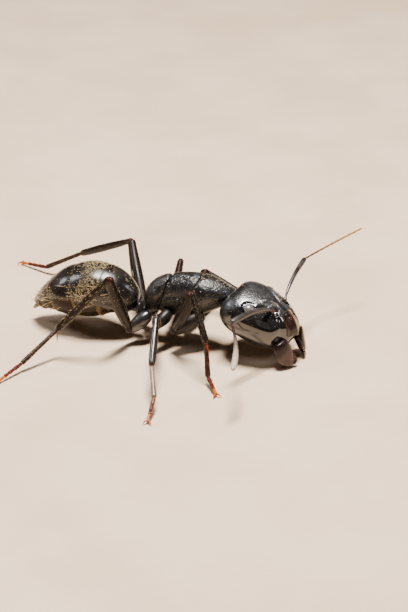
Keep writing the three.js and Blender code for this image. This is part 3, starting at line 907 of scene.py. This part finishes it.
def make_neck():
    start, end = Vector((1.35, 0, 2.25)), Vector((2.05, -0.02, 2.4))
    length = (end - start).length
    rings = [(0, share * length, 0, size, size * 0.9) for share, size in
             ((0, 0.36), (0.3, 0.35), (0.45, 0.31), (0.6, 0.3), (0.8, 0.26), (1, 0.22))]
    neck = draw_out("neck_collar", rings, sides=16)
    set_down(neck, stand(start, end - start))
    keep(neck, TRUNK_SHELL, "shell_black", "neck")


def make_petiole():
    """An upright scale on a short stalk that joins the trunk to the gaster."""
    height = (PETIOLE_TOP - PETIOLE_FOOT).length
    rings = rings_of([(0, 0), (height, 0)], PETIOLE_SECTIONS, 10, 0.5)
    scale = draw_out("petiole_scale", rings, sides=20, levels=3)
    press(scale, lambda co: -0.05 * bump_at(co, (0, 0, height), (0.12, 0.3, 0.08)))
    set_down(scale, stand(PETIOLE_FOOT, PETIOLE_TOP - PETIOLE_FOOT, AHEAD))
    keep(scale, TRUNK_SHELL, "shell_black", "petiole")
    stalk_start, stalk_end = Vector((-1.75, 0, 1.32)), Vector((-2.55, 0.01, 1.3))
    length = (stalk_end - stalk_start).length
    rings = [(0, share * length, 0, size, size * 0.9) for share, size in
             ((0, 0.2), (0.25, 0.19), (0.5, 0.23), (0.75, 0.17), (1, 0.2))]
    stalk = draw_out("petiole_stalk", rings, sides=14)
    set_down(stalk, stand(stalk_start, stalk_end - stalk_start))
    keep(stalk, TRUNK_SHELL, "shell_black")


# ---- gaster ----


def gaster_line():
    """The gaster's path on the bench, from the waist backwards."""
    start = GASTER_PATH[0][0]
    return [(start - x, z) for x, z in GASTER_PATH]


def gaster_place():
    swerve = Matrix.Rotation(math.radians(-GASTER_SWERVE), 4, "Z")
    foot = Vector((GASTER_PATH[0][0], 0, 0))
    return Matrix.Translation(foot) @ swerve @ stand(Vector(), -AHEAD)


def plate_rings(start, end, swell):
    """A barrel that starts tucked under the plate before it and ends in a rim. swell gives its
    fullness at its front, middle and rear."""
    path = gaster_line()

    def ring(share, swell):
        return ring_at(path, GASTER_SECTIONS, share, GASTER_BLUNTNESS, swell)

    if end >= 1:
        shares = [start + (end - start) * t for t in (0, 0.25, 0.5, 0.72, 0.88, 0.97, 1)]
        return [ring(start - 0.02, 0.9 * swell[0])] + [ring(share, swell[1]) for share in shares]
    first = [0.0, 0.004, 0.02, 0.05] if start == 0 else []
    tucked = [ring(start - 0.025, 0.95 * swell[0]), ring(start - 0.01, 0.98 * swell[0])]
    rings = [ring(share, 1.0) for share in first] or tucked
    low = first[-1] if first else start
    for t in (0.2, 0.4, 0.6, 0.8, 0.93):
        fullness = np.interp(t, (0, 0.5, 1), swell) + 0.35 * t * (1 - t) * (swell[1] - min(swell))
        rings.append(ring(low + (end - low) * t, fullness))
    rear = swell[2]
    lip = ((0, 0), (0.005, 0.008), (0.005, 0.03), (0, 0.05))  # past the plate's end, and inwards
    return rings + [ring(end + past, rear - inwards) for past, inwards in lip]


def make_gaster():
    path = gaster_line()
    for index in range(len(GASTER_CUTS) - 1):
        start, end = GASTER_CUTS[index:index + 2]
        node_name = f"gaster_{index + 1}" if end < 1 else "gaster_tip"
        rings = plate_rings(start, end, PLATE_SWELL[index])
        plate = draw_out(f"{node_name}_plate", rings, sides=28, levels=2)
        co = points_of(plate)
        line = np.array([between(path, t) for t in np.linspace(0, 1, 300)])
        nearest = np.argmin(((co[:, None, (2, 1)] - line[None]) ** 2).sum(2), axis=1)
        share = nearest / 299
        below = line[nearest, 1] - co[:, 1]
        edge = np.interp(share, *zip(*TERGITE_EDGE))
        under = step(below, edge, edge + 0.07)
        press(plate, lambda _: -BELLY_INSET * under)
        run = (share - start) / (end - start)
        mark(plate, "under", under)
        lip = np.exp(-(((below - edge) / 0.03) ** 2)) * 0.45
        rim = step(run, 0.96, 1.0) * 0.5 * (1 - under) + step(run, 0.72, 1.0) * 0.85 * under
        mark(plate, "rim", np.maximum(rim, lip) if end < 1 else step(run, 0.8, 1.0) * 0.4)
        set_down(plate, gaster_place())
        keep(plate, GASTER_SHELL, "gaster_brown", node_name)


def make_gaster_point():
    """The small tan cone at the gaster's very end."""
    place = gaster_place()
    start, end = (place @ spot for spot in GASTER_POINT)
    point = rod("gaster_point", start, end, ((0, 0.06), (0.1, 0.13), (0.5, 0.1), (0.85, 0.06), (1, 0.02)))
    keep(point, POINT_SHELL, "gaster_brown")


# ---- legs ----


def leg_joints(name):
    pair, side_name = name.split("_")
    side = SIDES[side_name]
    lengths, pose = LEG_LENGTHS[pair], LEG_POSES[name]
    x, y, z = HIPS[pair]
    joints = [Vector((x, y * side, z))]
    for part in ("coxa", "femur", "tibia", "basitarsus"):
        joints.append(joints[-1] + heading(*pose[part], side) * lengths[part])
    rise = math.degrees(math.asin((FLOOR_LIFT - joints[-1].z) / lengths["toes"]))
    joints.append(joints[-1] + heading(pose["toes"], rise, side) * lengths["toes"])
    return joints


def rod(name, start, end, stations, sides=12, back=UP, bow=0.0, flat=1.0):
    """A limb piece from start to end; stations are (share, radius)."""
    length = (end - start).length
    rings = []
    for share, radius in stations:
        lift = bow * math.sin(math.pi * share)
        slope = math.atan(bow * math.pi * math.cos(math.pi * share) / length)
        rings.append((lift, share * length, slope, radius * flat, radius))
    piece = draw_out(name, rings, sides=sides, levels=2)
    co = points_of(piece)
    share = co[:, 2] / length
    mark(piece, "run", share)
    mark(piece, "ends", np.maximum(step(share, 0.9, 1.02), 1 - step(share, -0.02, 0.07)))
    set_down(piece, stand(start, end - start, back))
    return piece


# Stations are (share of the length, share of the piece's greatest radius).
COXA_STATIONS = ((0, 0.5), (0.06, 0.75), (0.3, 1), (0.6, 0.98), (0.85, 0.75), (0.95, 0.6), (1, 0.35))
FEMUR_STATIONS = ((0, 0.5), (0.03, 0.66), (0.15, 0.82), (0.35, 1), (0.6, 0.97), (0.8, 0.8),
                  (0.92, 0.7), (0.97, 0.72), (0.995, 0.62), (1.01, 0.3))
TIBIA_STATIONS = ((-0.02, 0.4), (0.0, 0.78), (0.03, 0.8), (0.06, 0.68), (0.12, 0.78), (0.4, 1),
                  (0.7, 1), (0.9, 0.92), (0.97, 0.86), (1.0, 0.6))
BASITARSUS_STATIONS = ((0, 0.6), (0.02, 0.9), (0.1, 0.95), (0.5, 0.95), (0.93, 1.15), (0.98, 1.1), (1, 0.6))
TOE_STATIONS = ((0, 0.6), (0.08, 0.82), (0.5, 0.9), (0.92, 1.06), (1, 0.8))
TROCHANTER = {"from": -0.1, "to": 0.34,
              "stations": ((0, 0.07), (0.12, 0.15), (0.4, 0.19), (0.7, 0.18), (0.92, 0.15), (1, 0.08))}
FEMUR_START = 0.24  # past the joint with the coxa
CLAW = {"reach": 0.3, "height": 0.02,
        "stations": ((0, 0.05), (0.2, 0.045), (0.5, 0.034), (0.8, 0.02), (1, 0.006))}
TOE_ENDS = (0, 0.3, 0.52, 0.7, 1)  # where the four short joints part
TOE_HEIGHT = 0.11
SPUR_STATIONS = ((0, 0.05), (0.15, 0.042), (0.5, 0.032), (0.85, 0.018), (1, 0.005))
SPUR_LENGTHS = {"hind": 0.4, "mid": 0.42, "fore": 0.46}
HANGING_SPUR = {"leg": "hind_right", "length": 0.62}
RED_LEGS = ("mid_left", "fore_left")
# The tibia that wears the painted highlight copy of the leg shell.
PAINTED_HIGHLIGHT_TIBIA = "mid_right"


def sized(stations, radius):
    return tuple((share, size * radius) for share, size in stations)


def make_leg(name):
    pair = name.split("_")[0]
    hip, fork, knee, ankle, ball, toe = leg_joints(name)
    coxa = rod(f"coxa_piece_{name}", hip, fork, sized(COXA_STATIONS, COXA_RADIUS[pair]), sides=16)
    keep(coxa, BRIGHT_COXA_SHELL if pair == "hind" else COXA_SHELL, "shell_black", f"coxa_{name}")
    reach = (knee - fork).normalized()
    knuckle = rod(f"trochanter_{name}", fork + reach * TROCHANTER["from"], fork + reach * TROCHANTER["to"],
                  TROCHANTER["stations"])
    keep(knuckle, LEG_SHELL, "leg_brown")
    back = -(fork - knee).cross(ankle - knee).cross(knee - fork)
    shell = RED_LEG_SHELL if name in RED_LEGS else LEG_SHELL
    femur = rod(f"femur_shaft_{name}", fork + reach * FEMUR_START, knee,
                sized(FEMUR_STATIONS, FEMUR_RADIUS[pair]), back=back, bow=0.05, flat=0.92)
    keep(femur, shell, "leg_brown", f"femur_{name}")
    tibia = rod(f"tibia_shaft_{name}", knee, ankle, sized(TIBIA_STATIONS, TIBIA_RADIUS[pair]), back=back)
    keep(tibia, PAINTED_HIGHLIGHT_LEG_SHELL if name == PAINTED_HIGHLIGHT_TIBIA else shell, "leg_brown", f"tibia_{name}")
    make_tarsus(name, pair, ankle, ball, toe)
    make_spurs(name, pair, knee, ankle, ball)


def make_tarsus(name, pair, ankle, ball, toe):
    """The long first joint, four short ones and a pair of claws, as one piece."""
    radius = TARSUS_RADIUS[pair]
    first = rod(f"basitarsus_{name}", ankle, ball, sized(BASITARSUS_STATIONS, radius))
    mark(first, "toes", np.full(len(first.data.vertices), 0.1))
    pieces = [first]
    floor_toe = Vector((toe.x, toe.y, TOE_HEIGHT))
    for index, (a, b) in enumerate(zip(TOE_ENDS[:-1], TOE_ENDS[1:])):
        start, end = ball.lerp(floor_toe, a - 0.03), ball.lerp(floor_toe, b)
        size = radius * (0.92 - 0.06 * index)
        joint = rod(f"tarsomere_{index}_{name}", start, end, sized(TOE_STATIONS, size))
        mark(joint, "toes", np.full(len(joint.data.vertices), 0.45 + 0.18 * index))
        pieces.append(joint)
    along = (floor_toe - ball).normalized()
    tip = ball.lerp(floor_toe, 0.93)
    for way in (-1, 1):
        out = along.cross(UP).normalized() * way
        reach = (along * 0.75 + out * 0.55).normalized()
        claw_end = tip + reach * CLAW["reach"]
        claw_end.z = CLAW["height"]
        claw = rod(f"claw_{way + 1}_{name}", tip, claw_end, CLAW["stations"], sides=8, bow=0.06)
        mark(claw, "toes", np.ones(len(claw.data.vertices)))
        pieces.append(claw)
    use(first)
    for piece in pieces:
        piece.select_set(True)
    bpy.ops.object.join()
    first.name = first.data.name = f"tarsus_joints_{name}"
    keep(first, FOOT_SHELLS[pair], "foot_red", f"tarsus_{name}")


def make_spurs(name, pair, knee, ankle, ball):
    """The spur at the tibia's end. One hangs free, and the others lie along the foot."""
    down = (ankle - knee).normalized()
    away = (ball - ankle).normalized()
    hangs = name == HANGING_SPUR["leg"]
    drop, lean = (1, 0.1) if hangs else (0.3, 1.2)
    hang = (-UP * drop + down * lean - away * 0.2 * lean).normalized()
    length = HANGING_SPUR["length"] if hangs else SPUR_LENGTHS[pair]
    base = ankle - down * 0.04
    spur = rod(f"spur_{name}", base, base + hang * length, SPUR_STATIONS, sides=8, bow=0.02)
    keep(spur, SPUR_SHELL, "foot_red")


# ---- hairs ----

SEED = np.random.default_rng(7)
BARE_SOLE = (0.12, 0.16)  # the heights between which the leg hairs start
HAIRY_LIMBS = (  # the piece, the joints that it runs between, and how many hairs are tried
    ("femur_shaft", 1, 2, 90),
    ("tibia_shaft", 2, 3, 170),
    ("tarsus_joints", 3, 5, 170),
)
GOLD_HAIRED_LEG = "hind_right"
KNEE_LIFT = 0.042  # how far a hair's middle stands off the straight, as a share of its length
PATCH_REACH = 0.0015  # half the width of a hair's patch on the OFBake map


def lay_coat(name, roots, lies, lengths, widths, unwrap, material, slot):
    """Many short hairs as one mesh. Each hair is a thin three-sided spike with a knee, and
    its patch of the OFBake map lies at its root's place on an unwrap of the skin."""
    count = len(roots)
    normals, along = lies
    side = np.cross(normals, along)
    side /= np.linalg.norm(side, axis=1, keepdims=True)
    lift = np.cross(along, side)
    points = np.empty((count, 7, 3))
    faces = []
    for corner in range(3):
        angle = 2 * math.pi * corner / 3
        ring = side * math.cos(angle) + lift * math.sin(angle)
        points[:, corner] = roots + ring * widths[:, None] - along * lengths[:, None] * 0.03
        knee = roots + along * lengths[:, None] * 0.5 + lift * lengths[:, None] * KNEE_LIFT
        points[:, 3 + corner] = knee + ring * widths[:, None] * 0.75
    points[:, 6] = roots + along * lengths[:, None]
    template = [(0, 1, 4, 3), (1, 2, 5, 4), (2, 0, 3, 5), (3, 4, 6), (4, 5, 6), (5, 3, 6), (2, 1, 0)]
    for i in range(count):
        faces.extend([tuple(7 * i + v for v in face) for face in template])
    mesh = bpy.data.meshes.new(name)
    mesh.from_pydata(points.reshape(-1, 3).tolist(), [], faces)
    coat = bpy.data.objects.new(name, mesh)
    bpy.context.scene.collection.objects.link(coat)
    mark(coat, "run", np.tile([0, 0, 0, 0.5, 0.5, 0.5, 1.0], count))
    corners = np.array([(-1, -1), (0, -1), (1, -1), (-1, 0), (0, 0), (1, 0), (0, 1)]) * PATCH_REACH
    patches = (unwrap[:, None] + corners[None]).reshape(-1, 2)
    layer = mesh.uv_layers.new(name="OFBake")
    order = np.empty(len(mesh.loops), int)
    mesh.loops.foreach_get("vertex_index", order)
    layer.data.foreach_set("uv", np.clip(patches[order], 0, 1).ravel())
    mesh.polygons.foreach_set("use_smooth", np.ones(len(mesh.polygons), bool))
    set_down(coat, Matrix.Identity(4))
    return keep(coat, material, slot)


def scatter(piece, count, wanted):
    """Random points on a piece's surface, in the ant's millimetres, kept where wanted says."""
    mesh = piece.data
    mesh.calc_loop_triangles()
    corners = np.empty(len(mesh.loop_triangles) * 3, int)
    mesh.loop_triangles.foreach_get("vertices", corners)
    co = points_of(piece) / MM - np.array(TRUNK_PLACE)
    a, b, c = co[corners.reshape(-1, 3)].transpose(1, 0, 2)
    cross = np.cross(b - a, c - a)
    area = np.linalg.norm(cross, axis=1)
    pick = SEED.choice(len(area), size=count, p=area / area.sum())
    u, v = SEED.random((2, count))
    flip = u + v > 1
    u[flip], v[flip] = 1 - u[flip], 1 - v[flip]
    spots = a[pick] + u[:, None] * (b - a)[pick] + v[:, None] * (c - a)[pick]
    normals = cross[pick] / area[pick][:, None]
    chance = wanted(spots, normals)
    held = SEED.random(count) < chance
    return spots[held], normals[held]


def combed(normals, along, raise_, stray):
    """Hair directions: along, laid on the surface, raised by a share and straying a little."""
    run = along - normals * (along * normals).sum(1, keepdims=True)
    run /= np.maximum(np.linalg.norm(run, axis=1, keepdims=True), 1e-6)
    run = run + SEED.normal(0, stray, run.shape) + normals * raise_[:, None]
    return run / np.linalg.norm(run, axis=1, keepdims=True)


def unwrap_along(spots):
    """A plain unwrap of a body that lies along X: its length one way, the way round it the other."""
    low, high = spots[:, 0].min(), spots[:, 0].max()
    u = 0.02 + 0.96 * (spots[:, 0] - low) / (high - low)
    middle = spots.mean(0)
    v = 0.5 + np.arctan2(spots[:, 1] - middle[1], spots[:, 2] - middle[2]) / (2 * math.pi)
    return np.stack([u, v], 1)


# The down on the second and third plates: its share on the bare back, what the front and the
# flanks add, the most there is, and where front, flank and lower edge run from none to full.
DOWN_BANDS = {
    1: {"bare": 0.05, "front": 0.42, "flank": 0.28, "most": 0.5,
        "front_x": (-4.75, -4.2), "flank_z": (2.5, 2.1), "edge_z": (1.6, 1.8)},
    2: {"bare": 0.02, "front": 0.25, "flank": 0.2, "most": 0.4,
        "front_x": (-5.1, -4.85), "flank_z": (2.1, 1.85), "edge_z": (1.6, 1.75)},
}


def gaster_down_share(index):
    """How thickly the down lies at each point of one of the gaster's plates."""
    def share(spots, normals):
        x, z = spots[:, 0], spots[:, 2]
        if index == 0:
            above = 0.3 + 0.7 * np.clip(normals[:, 2], 0, 1)
            return 0.1 * above + 0.3 * step(x, -3.1, -3.3)
        if index in DOWN_BANDS:
            band = DOWN_BANDS[index]
            added = band["front"] * step(x, *band["front_x"]) + band["flank"] * step(z, *band["flank_z"])
            return np.clip(band["bare"] + added, 0, band["most"]) * step(z, *band["edge_z"])
        return 0.45 * step(z, 1.35, 1.6)
    return share


def gathered(pieces, counts, shares):
    roots, normals = zip(*(scatter(bpy.data.objects[piece], count, share)
                           for piece, count, share in zip(pieces, counts, shares)))
    return np.concatenate(roots), np.concatenate(normals)


def make_coat(name, pieces, counts, shares, *, way, raised, stray, reach, width, material, slot):
    """Scatters hairs over pieces of the body, combed one way. counts are the tries on each piece,
    and raised, reach and width run from the least to the most that a hair has."""
    roots, normals = gathered(pieces, counts, shares)
    count = len(roots)
    along = combed(normals, np.tile(way, (count, 1)), SEED.uniform(*raised, count), stray)
    lay_coat(name, roots, (normals, along), SEED.uniform(*reach, count),
             SEED.uniform(*width, count), unwrap_along(roots), material, slot)


def on_top(low, high):
    """A share that grows from nothing at one upward lean of the surface to full at another."""
    return lambda spots, normals: step(normals[:, 2], low, high)


def make_gaster_hairs():
    plates = [f"gaster_{i}_plate" for i in (1, 2, 3, 4)] + ["gaster_tip_plate"]
    make_coat("gaster_down", plates, (2400, 16000, 8000, 2600, 700), [gaster_down_share(i) for i in range(5)],
              way=(-1.0, 0.05, -0.15), raised=(0.04, 0.2), stray=0.25, reach=(0.035, 0.07),
              width=(0.006, 0.011), material=GOLD_HAIR, slot="gaster_brown")
    low = [lambda s, n: step(s[:, 2], 1.15, 1.3) * step(s[:, 2], 1.62, 1.5)] * 2
    make_coat("gaster_side_bristles", plates[2:4], (90, 60), low,
              way=(-1.0, 0.05, -0.75), raised=(0.1, 0.22), stray=0.08, reach=(0.3, 0.48),
              width=(0.013, 0.02), material=GOLD_HAIR, slot="gaster_brown")
    even = [lambda s, n: np.full(len(s), 0.5)] * 5
    make_coat("gaster_bristles", plates, (20, 30, 46, 90, 60), even,
              way=(-1.0, 0.05, -0.1), raised=(0.25, 0.8), stray=0.1, reach=(0.28, 0.55),
              width=(0.008, 0.012), material=GOLD_HAIR, slot="gaster_brown")


def make_body_hairs():
    trunk = ("pronotum_plate", "mesonotum_plate", "propodeum_plate")
    rearwards, facewards = (-1.0, 0.0, -0.2), (1.0, -0.1, -0.6)
    make_coat("trunk_down", trunk, (260, 260, 220), [on_top(-0.2, 0.8)] * 3,
              way=rearwards, raised=(0.05, 0.2), stray=0.15, reach=(0.06, 0.11),
              width=(0.003, 0.005), material=DARK_HAIR, slot="shell_black")
    make_coat("pronotum_gold", trunk[:1], (900,), [on_top(0.5, 0.95)],
              way=rearwards, raised=(0.05, 0.3), stray=0.2, reach=(0.04, 0.08),
              width=(0.005, 0.009), material=GOLD_HAIR, slot="shell_black")
    make_coat("trunk_bristles", trunk, (14, 12, 14), [on_top(0.2, 0.8)] * 3,
              way=rearwards, raised=(0.7, 2.0), stray=0.1, reach=(0.18, 0.3),
              width=(0.005, 0.007), material=GOLD_HAIR, slot="shell_black")
    make_coat("head_down", ("head_capsule",), (1500,), [on_top(0.2, 1.0)],
              way=facewards, raised=(0.05, 0.2), stray=0.3, reach=(0.035, 0.06),
              width=(0.007, 0.01), material=PALE_HAIR, slot="shell_black")
    make_coat("head_bristles", ("head_capsule", "clypeus_plate"), (16, 26), [on_top(0.0, 0.6)] * 2,
              way=facewards, raised=(0.7, 2.0), stray=0.12, reach=(0.12, 0.24),
              width=(0.005, 0.007), material=GOLD_HAIR, slot="shell_black")


def off_the_floor(spots, normals):
    return step(spots[:, 2], *BARE_SOLE)


def make_limb_hairs():
    for name in LEG_POSES:
        joints = leg_joints(name)
        roots, normals, ways, patches = [], [], [], []
        for order, (piece, first, last, number) in enumerate(HAIRY_LIMBS):
            spots, outward = scatter(bpy.data.objects[f"{piece}_{name}"], number, off_the_floor)
            start, end = joints[first], joints[last]
            way = np.array((end - start).normalized())
            share = np.clip((spots - np.array(start)) @ way / (end - start).length, 0, 1)
            roots.append(spots)
            normals.append(outward)
            ways.append(np.tile(way, (len(spots), 1)))
            around = 0.5 + np.arctan2(outward[:, 1], outward[:, 2]) / (2 * math.pi)
            patches.append(np.stack([0.02 + 0.96 * share, (order + around) / 3], 1))
        roots, normals, ways = np.concatenate(roots), np.concatenate(normals), np.concatenate(ways)
        count = len(roots)
        along = combed(normals, ways, SEED.uniform(0.1, 0.45, count), 0.1)
        hair = GOLD_HAIR if name == GOLD_HAIRED_LEG else DARK_HAIR
        lay_coat(f"leg_hairs_{name}", roots, (normals, along),
                 SEED.uniform(0.06, 0.12, count), SEED.uniform(0.004, 0.006, count),
                 np.concatenate(patches), hair, "leg_brown")


# ---- floor, light and camera ----


FLOOR_COLOURS = ((0.76, 0.55, 0.37, 1), (0.84, 0.64, 0.45, 1))


def make_floor():
    clear_selection()
    bpy.ops.mesh.primitive_plane_add(size=2.0)
    floor = bpy.context.object
    floor.name = floor.data.name = "floor"
    material = bpy.data.materials.new("pale_floor")
    material.use_nodes = True
    tree = material.node_tree
    shader = tree.nodes["Principled BSDF"]
    place = tree.nodes.new("ShaderNodeTexCoord").outputs["Object"]
    mottle = node(tree, "ShaderNodeTexNoise", Detail=5.0)
    tree.links.new(place, mottle.inputs["Vector"])
    mottle.inputs["Scale"].default_value = 0.18 / MM
    colour = mix_colour(tree, mask_node(tree, mottle.outputs["Fac"], 0.3, 0.7), *FLOOR_COLOURS)
    tree.links.new(colour, shader.inputs["Base Color"])
    shader.inputs["Roughness"].default_value = 0.7
    floor.data.materials.append(material)


def on_part(x, y, z):
    return (Vector((x, y, z)) + TRUNK_PLACE) * MM


def make_light(name, spot, aim, size, power, colour):
    lamp = bpy.data.lights.new(name, "AREA")
    lamp.shape = "RECTANGLE"
    lamp.size, lamp.size_y = size[0] * MM, size[1] * MM
    lamp.energy = power
    lamp.color = colour
    made = bpy.data.objects.new(name, lamp)
    bpy.context.scene.collection.objects.link(made)
    made.location = on_part(*spot)
    made.rotation_euler = (on_part(*aim) - on_part(*spot)).to_track_quat("-Z", "Y").to_euler()


LIGHTS = [  # where each hangs and aims, its size in millimetres, its watts and its colour
    ("softbox_over", (2, -1, 95), (0, 0, 1), (32, 16), 0.28, (1, 0.96, 0.91)),
    ("softbox_left", (-78, -4, 64), (-4, 0, 2), (22, 26), 0.029, (0.93, 0.93, 1)),
    ("softbox_right", (80, 12, 60), (0, 0, 2), (18, 18), 0.012, (0.93, 0.93, 1)),
    ("softbox_front", (60, -90, 50), (2, 0, 1), (50, 50), 0.002, (1, 0.98, 0.96)),
]
ROOM_COLOUR = (0.95, 0.92, 0.88, 1)
ROOM_STRENGTH = 0.012


def make_lights():
    for light in LIGHTS:
        make_light(*light)
    world = bpy.data.worlds.new("studio")
    bpy.context.scene.world = world
    world.use_nodes = True
    back = world.node_tree.nodes["Background"]
    back.inputs["Color"].default_value = ROOM_COLOUR
    back.inputs["Strength"].default_value = ROOM_STRENGTH


VIEW_TURN = 17  # degrees, the camera's aim to the left of the ant's own left
VIEW_DOWN = 25
VIEW_DISTANCE = 110
VIEW_AIM = Vector((0.603, 0, 1.772))
VIEW_SCALE = 24.3  # pixels for each millimetre at the aim
FRAME_HEIGHT = 612
SENSOR = 36


def make_camera():
    turn, down = math.radians(VIEW_TURN), math.radians(VIEW_DOWN)
    ahead = Vector((-math.sin(turn) * math.cos(down), math.cos(turn) * math.cos(down), -math.sin(down)))
    eye = VIEW_AIM - ahead * VIEW_DISTANCE
    lens = bpy.data.cameras.new("camera")
    lens.sensor_fit = "VERTICAL"
    lens.sensor_height = SENSOR
    lens.lens = VIEW_SCALE * VIEW_DISTANCE / FRAME_HEIGHT * SENSOR
    lens.clip_start = 0.001
    lens.clip_end = 10
    camera = bpy.data.objects.new("camera", lens)
    bpy.context.scene.collection.objects.link(camera)
    camera.location = on_part(*eye)
    camera.rotation_euler = ahead.to_track_quat("-Z", "Y").to_euler()
    bpy.context.scene.camera = camera


# ---- the whole ant ----

make_camera()
make_lights()
make_floor()
make_head()
make_clypeus()
for side_name, side_way in SIDES.items():
    make_eye(side_name, side_way)
    make_mandible(side_name, side_way)
    make_scape(side_name, side_way)
    make_funiculus(side_name, side_way)
make_trunk()
make_neck()
make_petiole()
make_gaster()
make_gaster_point()
for leg_name in LEG_POSES:
    make_leg(leg_name)
make_gaster_hairs()
make_body_hairs()
make_limb_hairs()
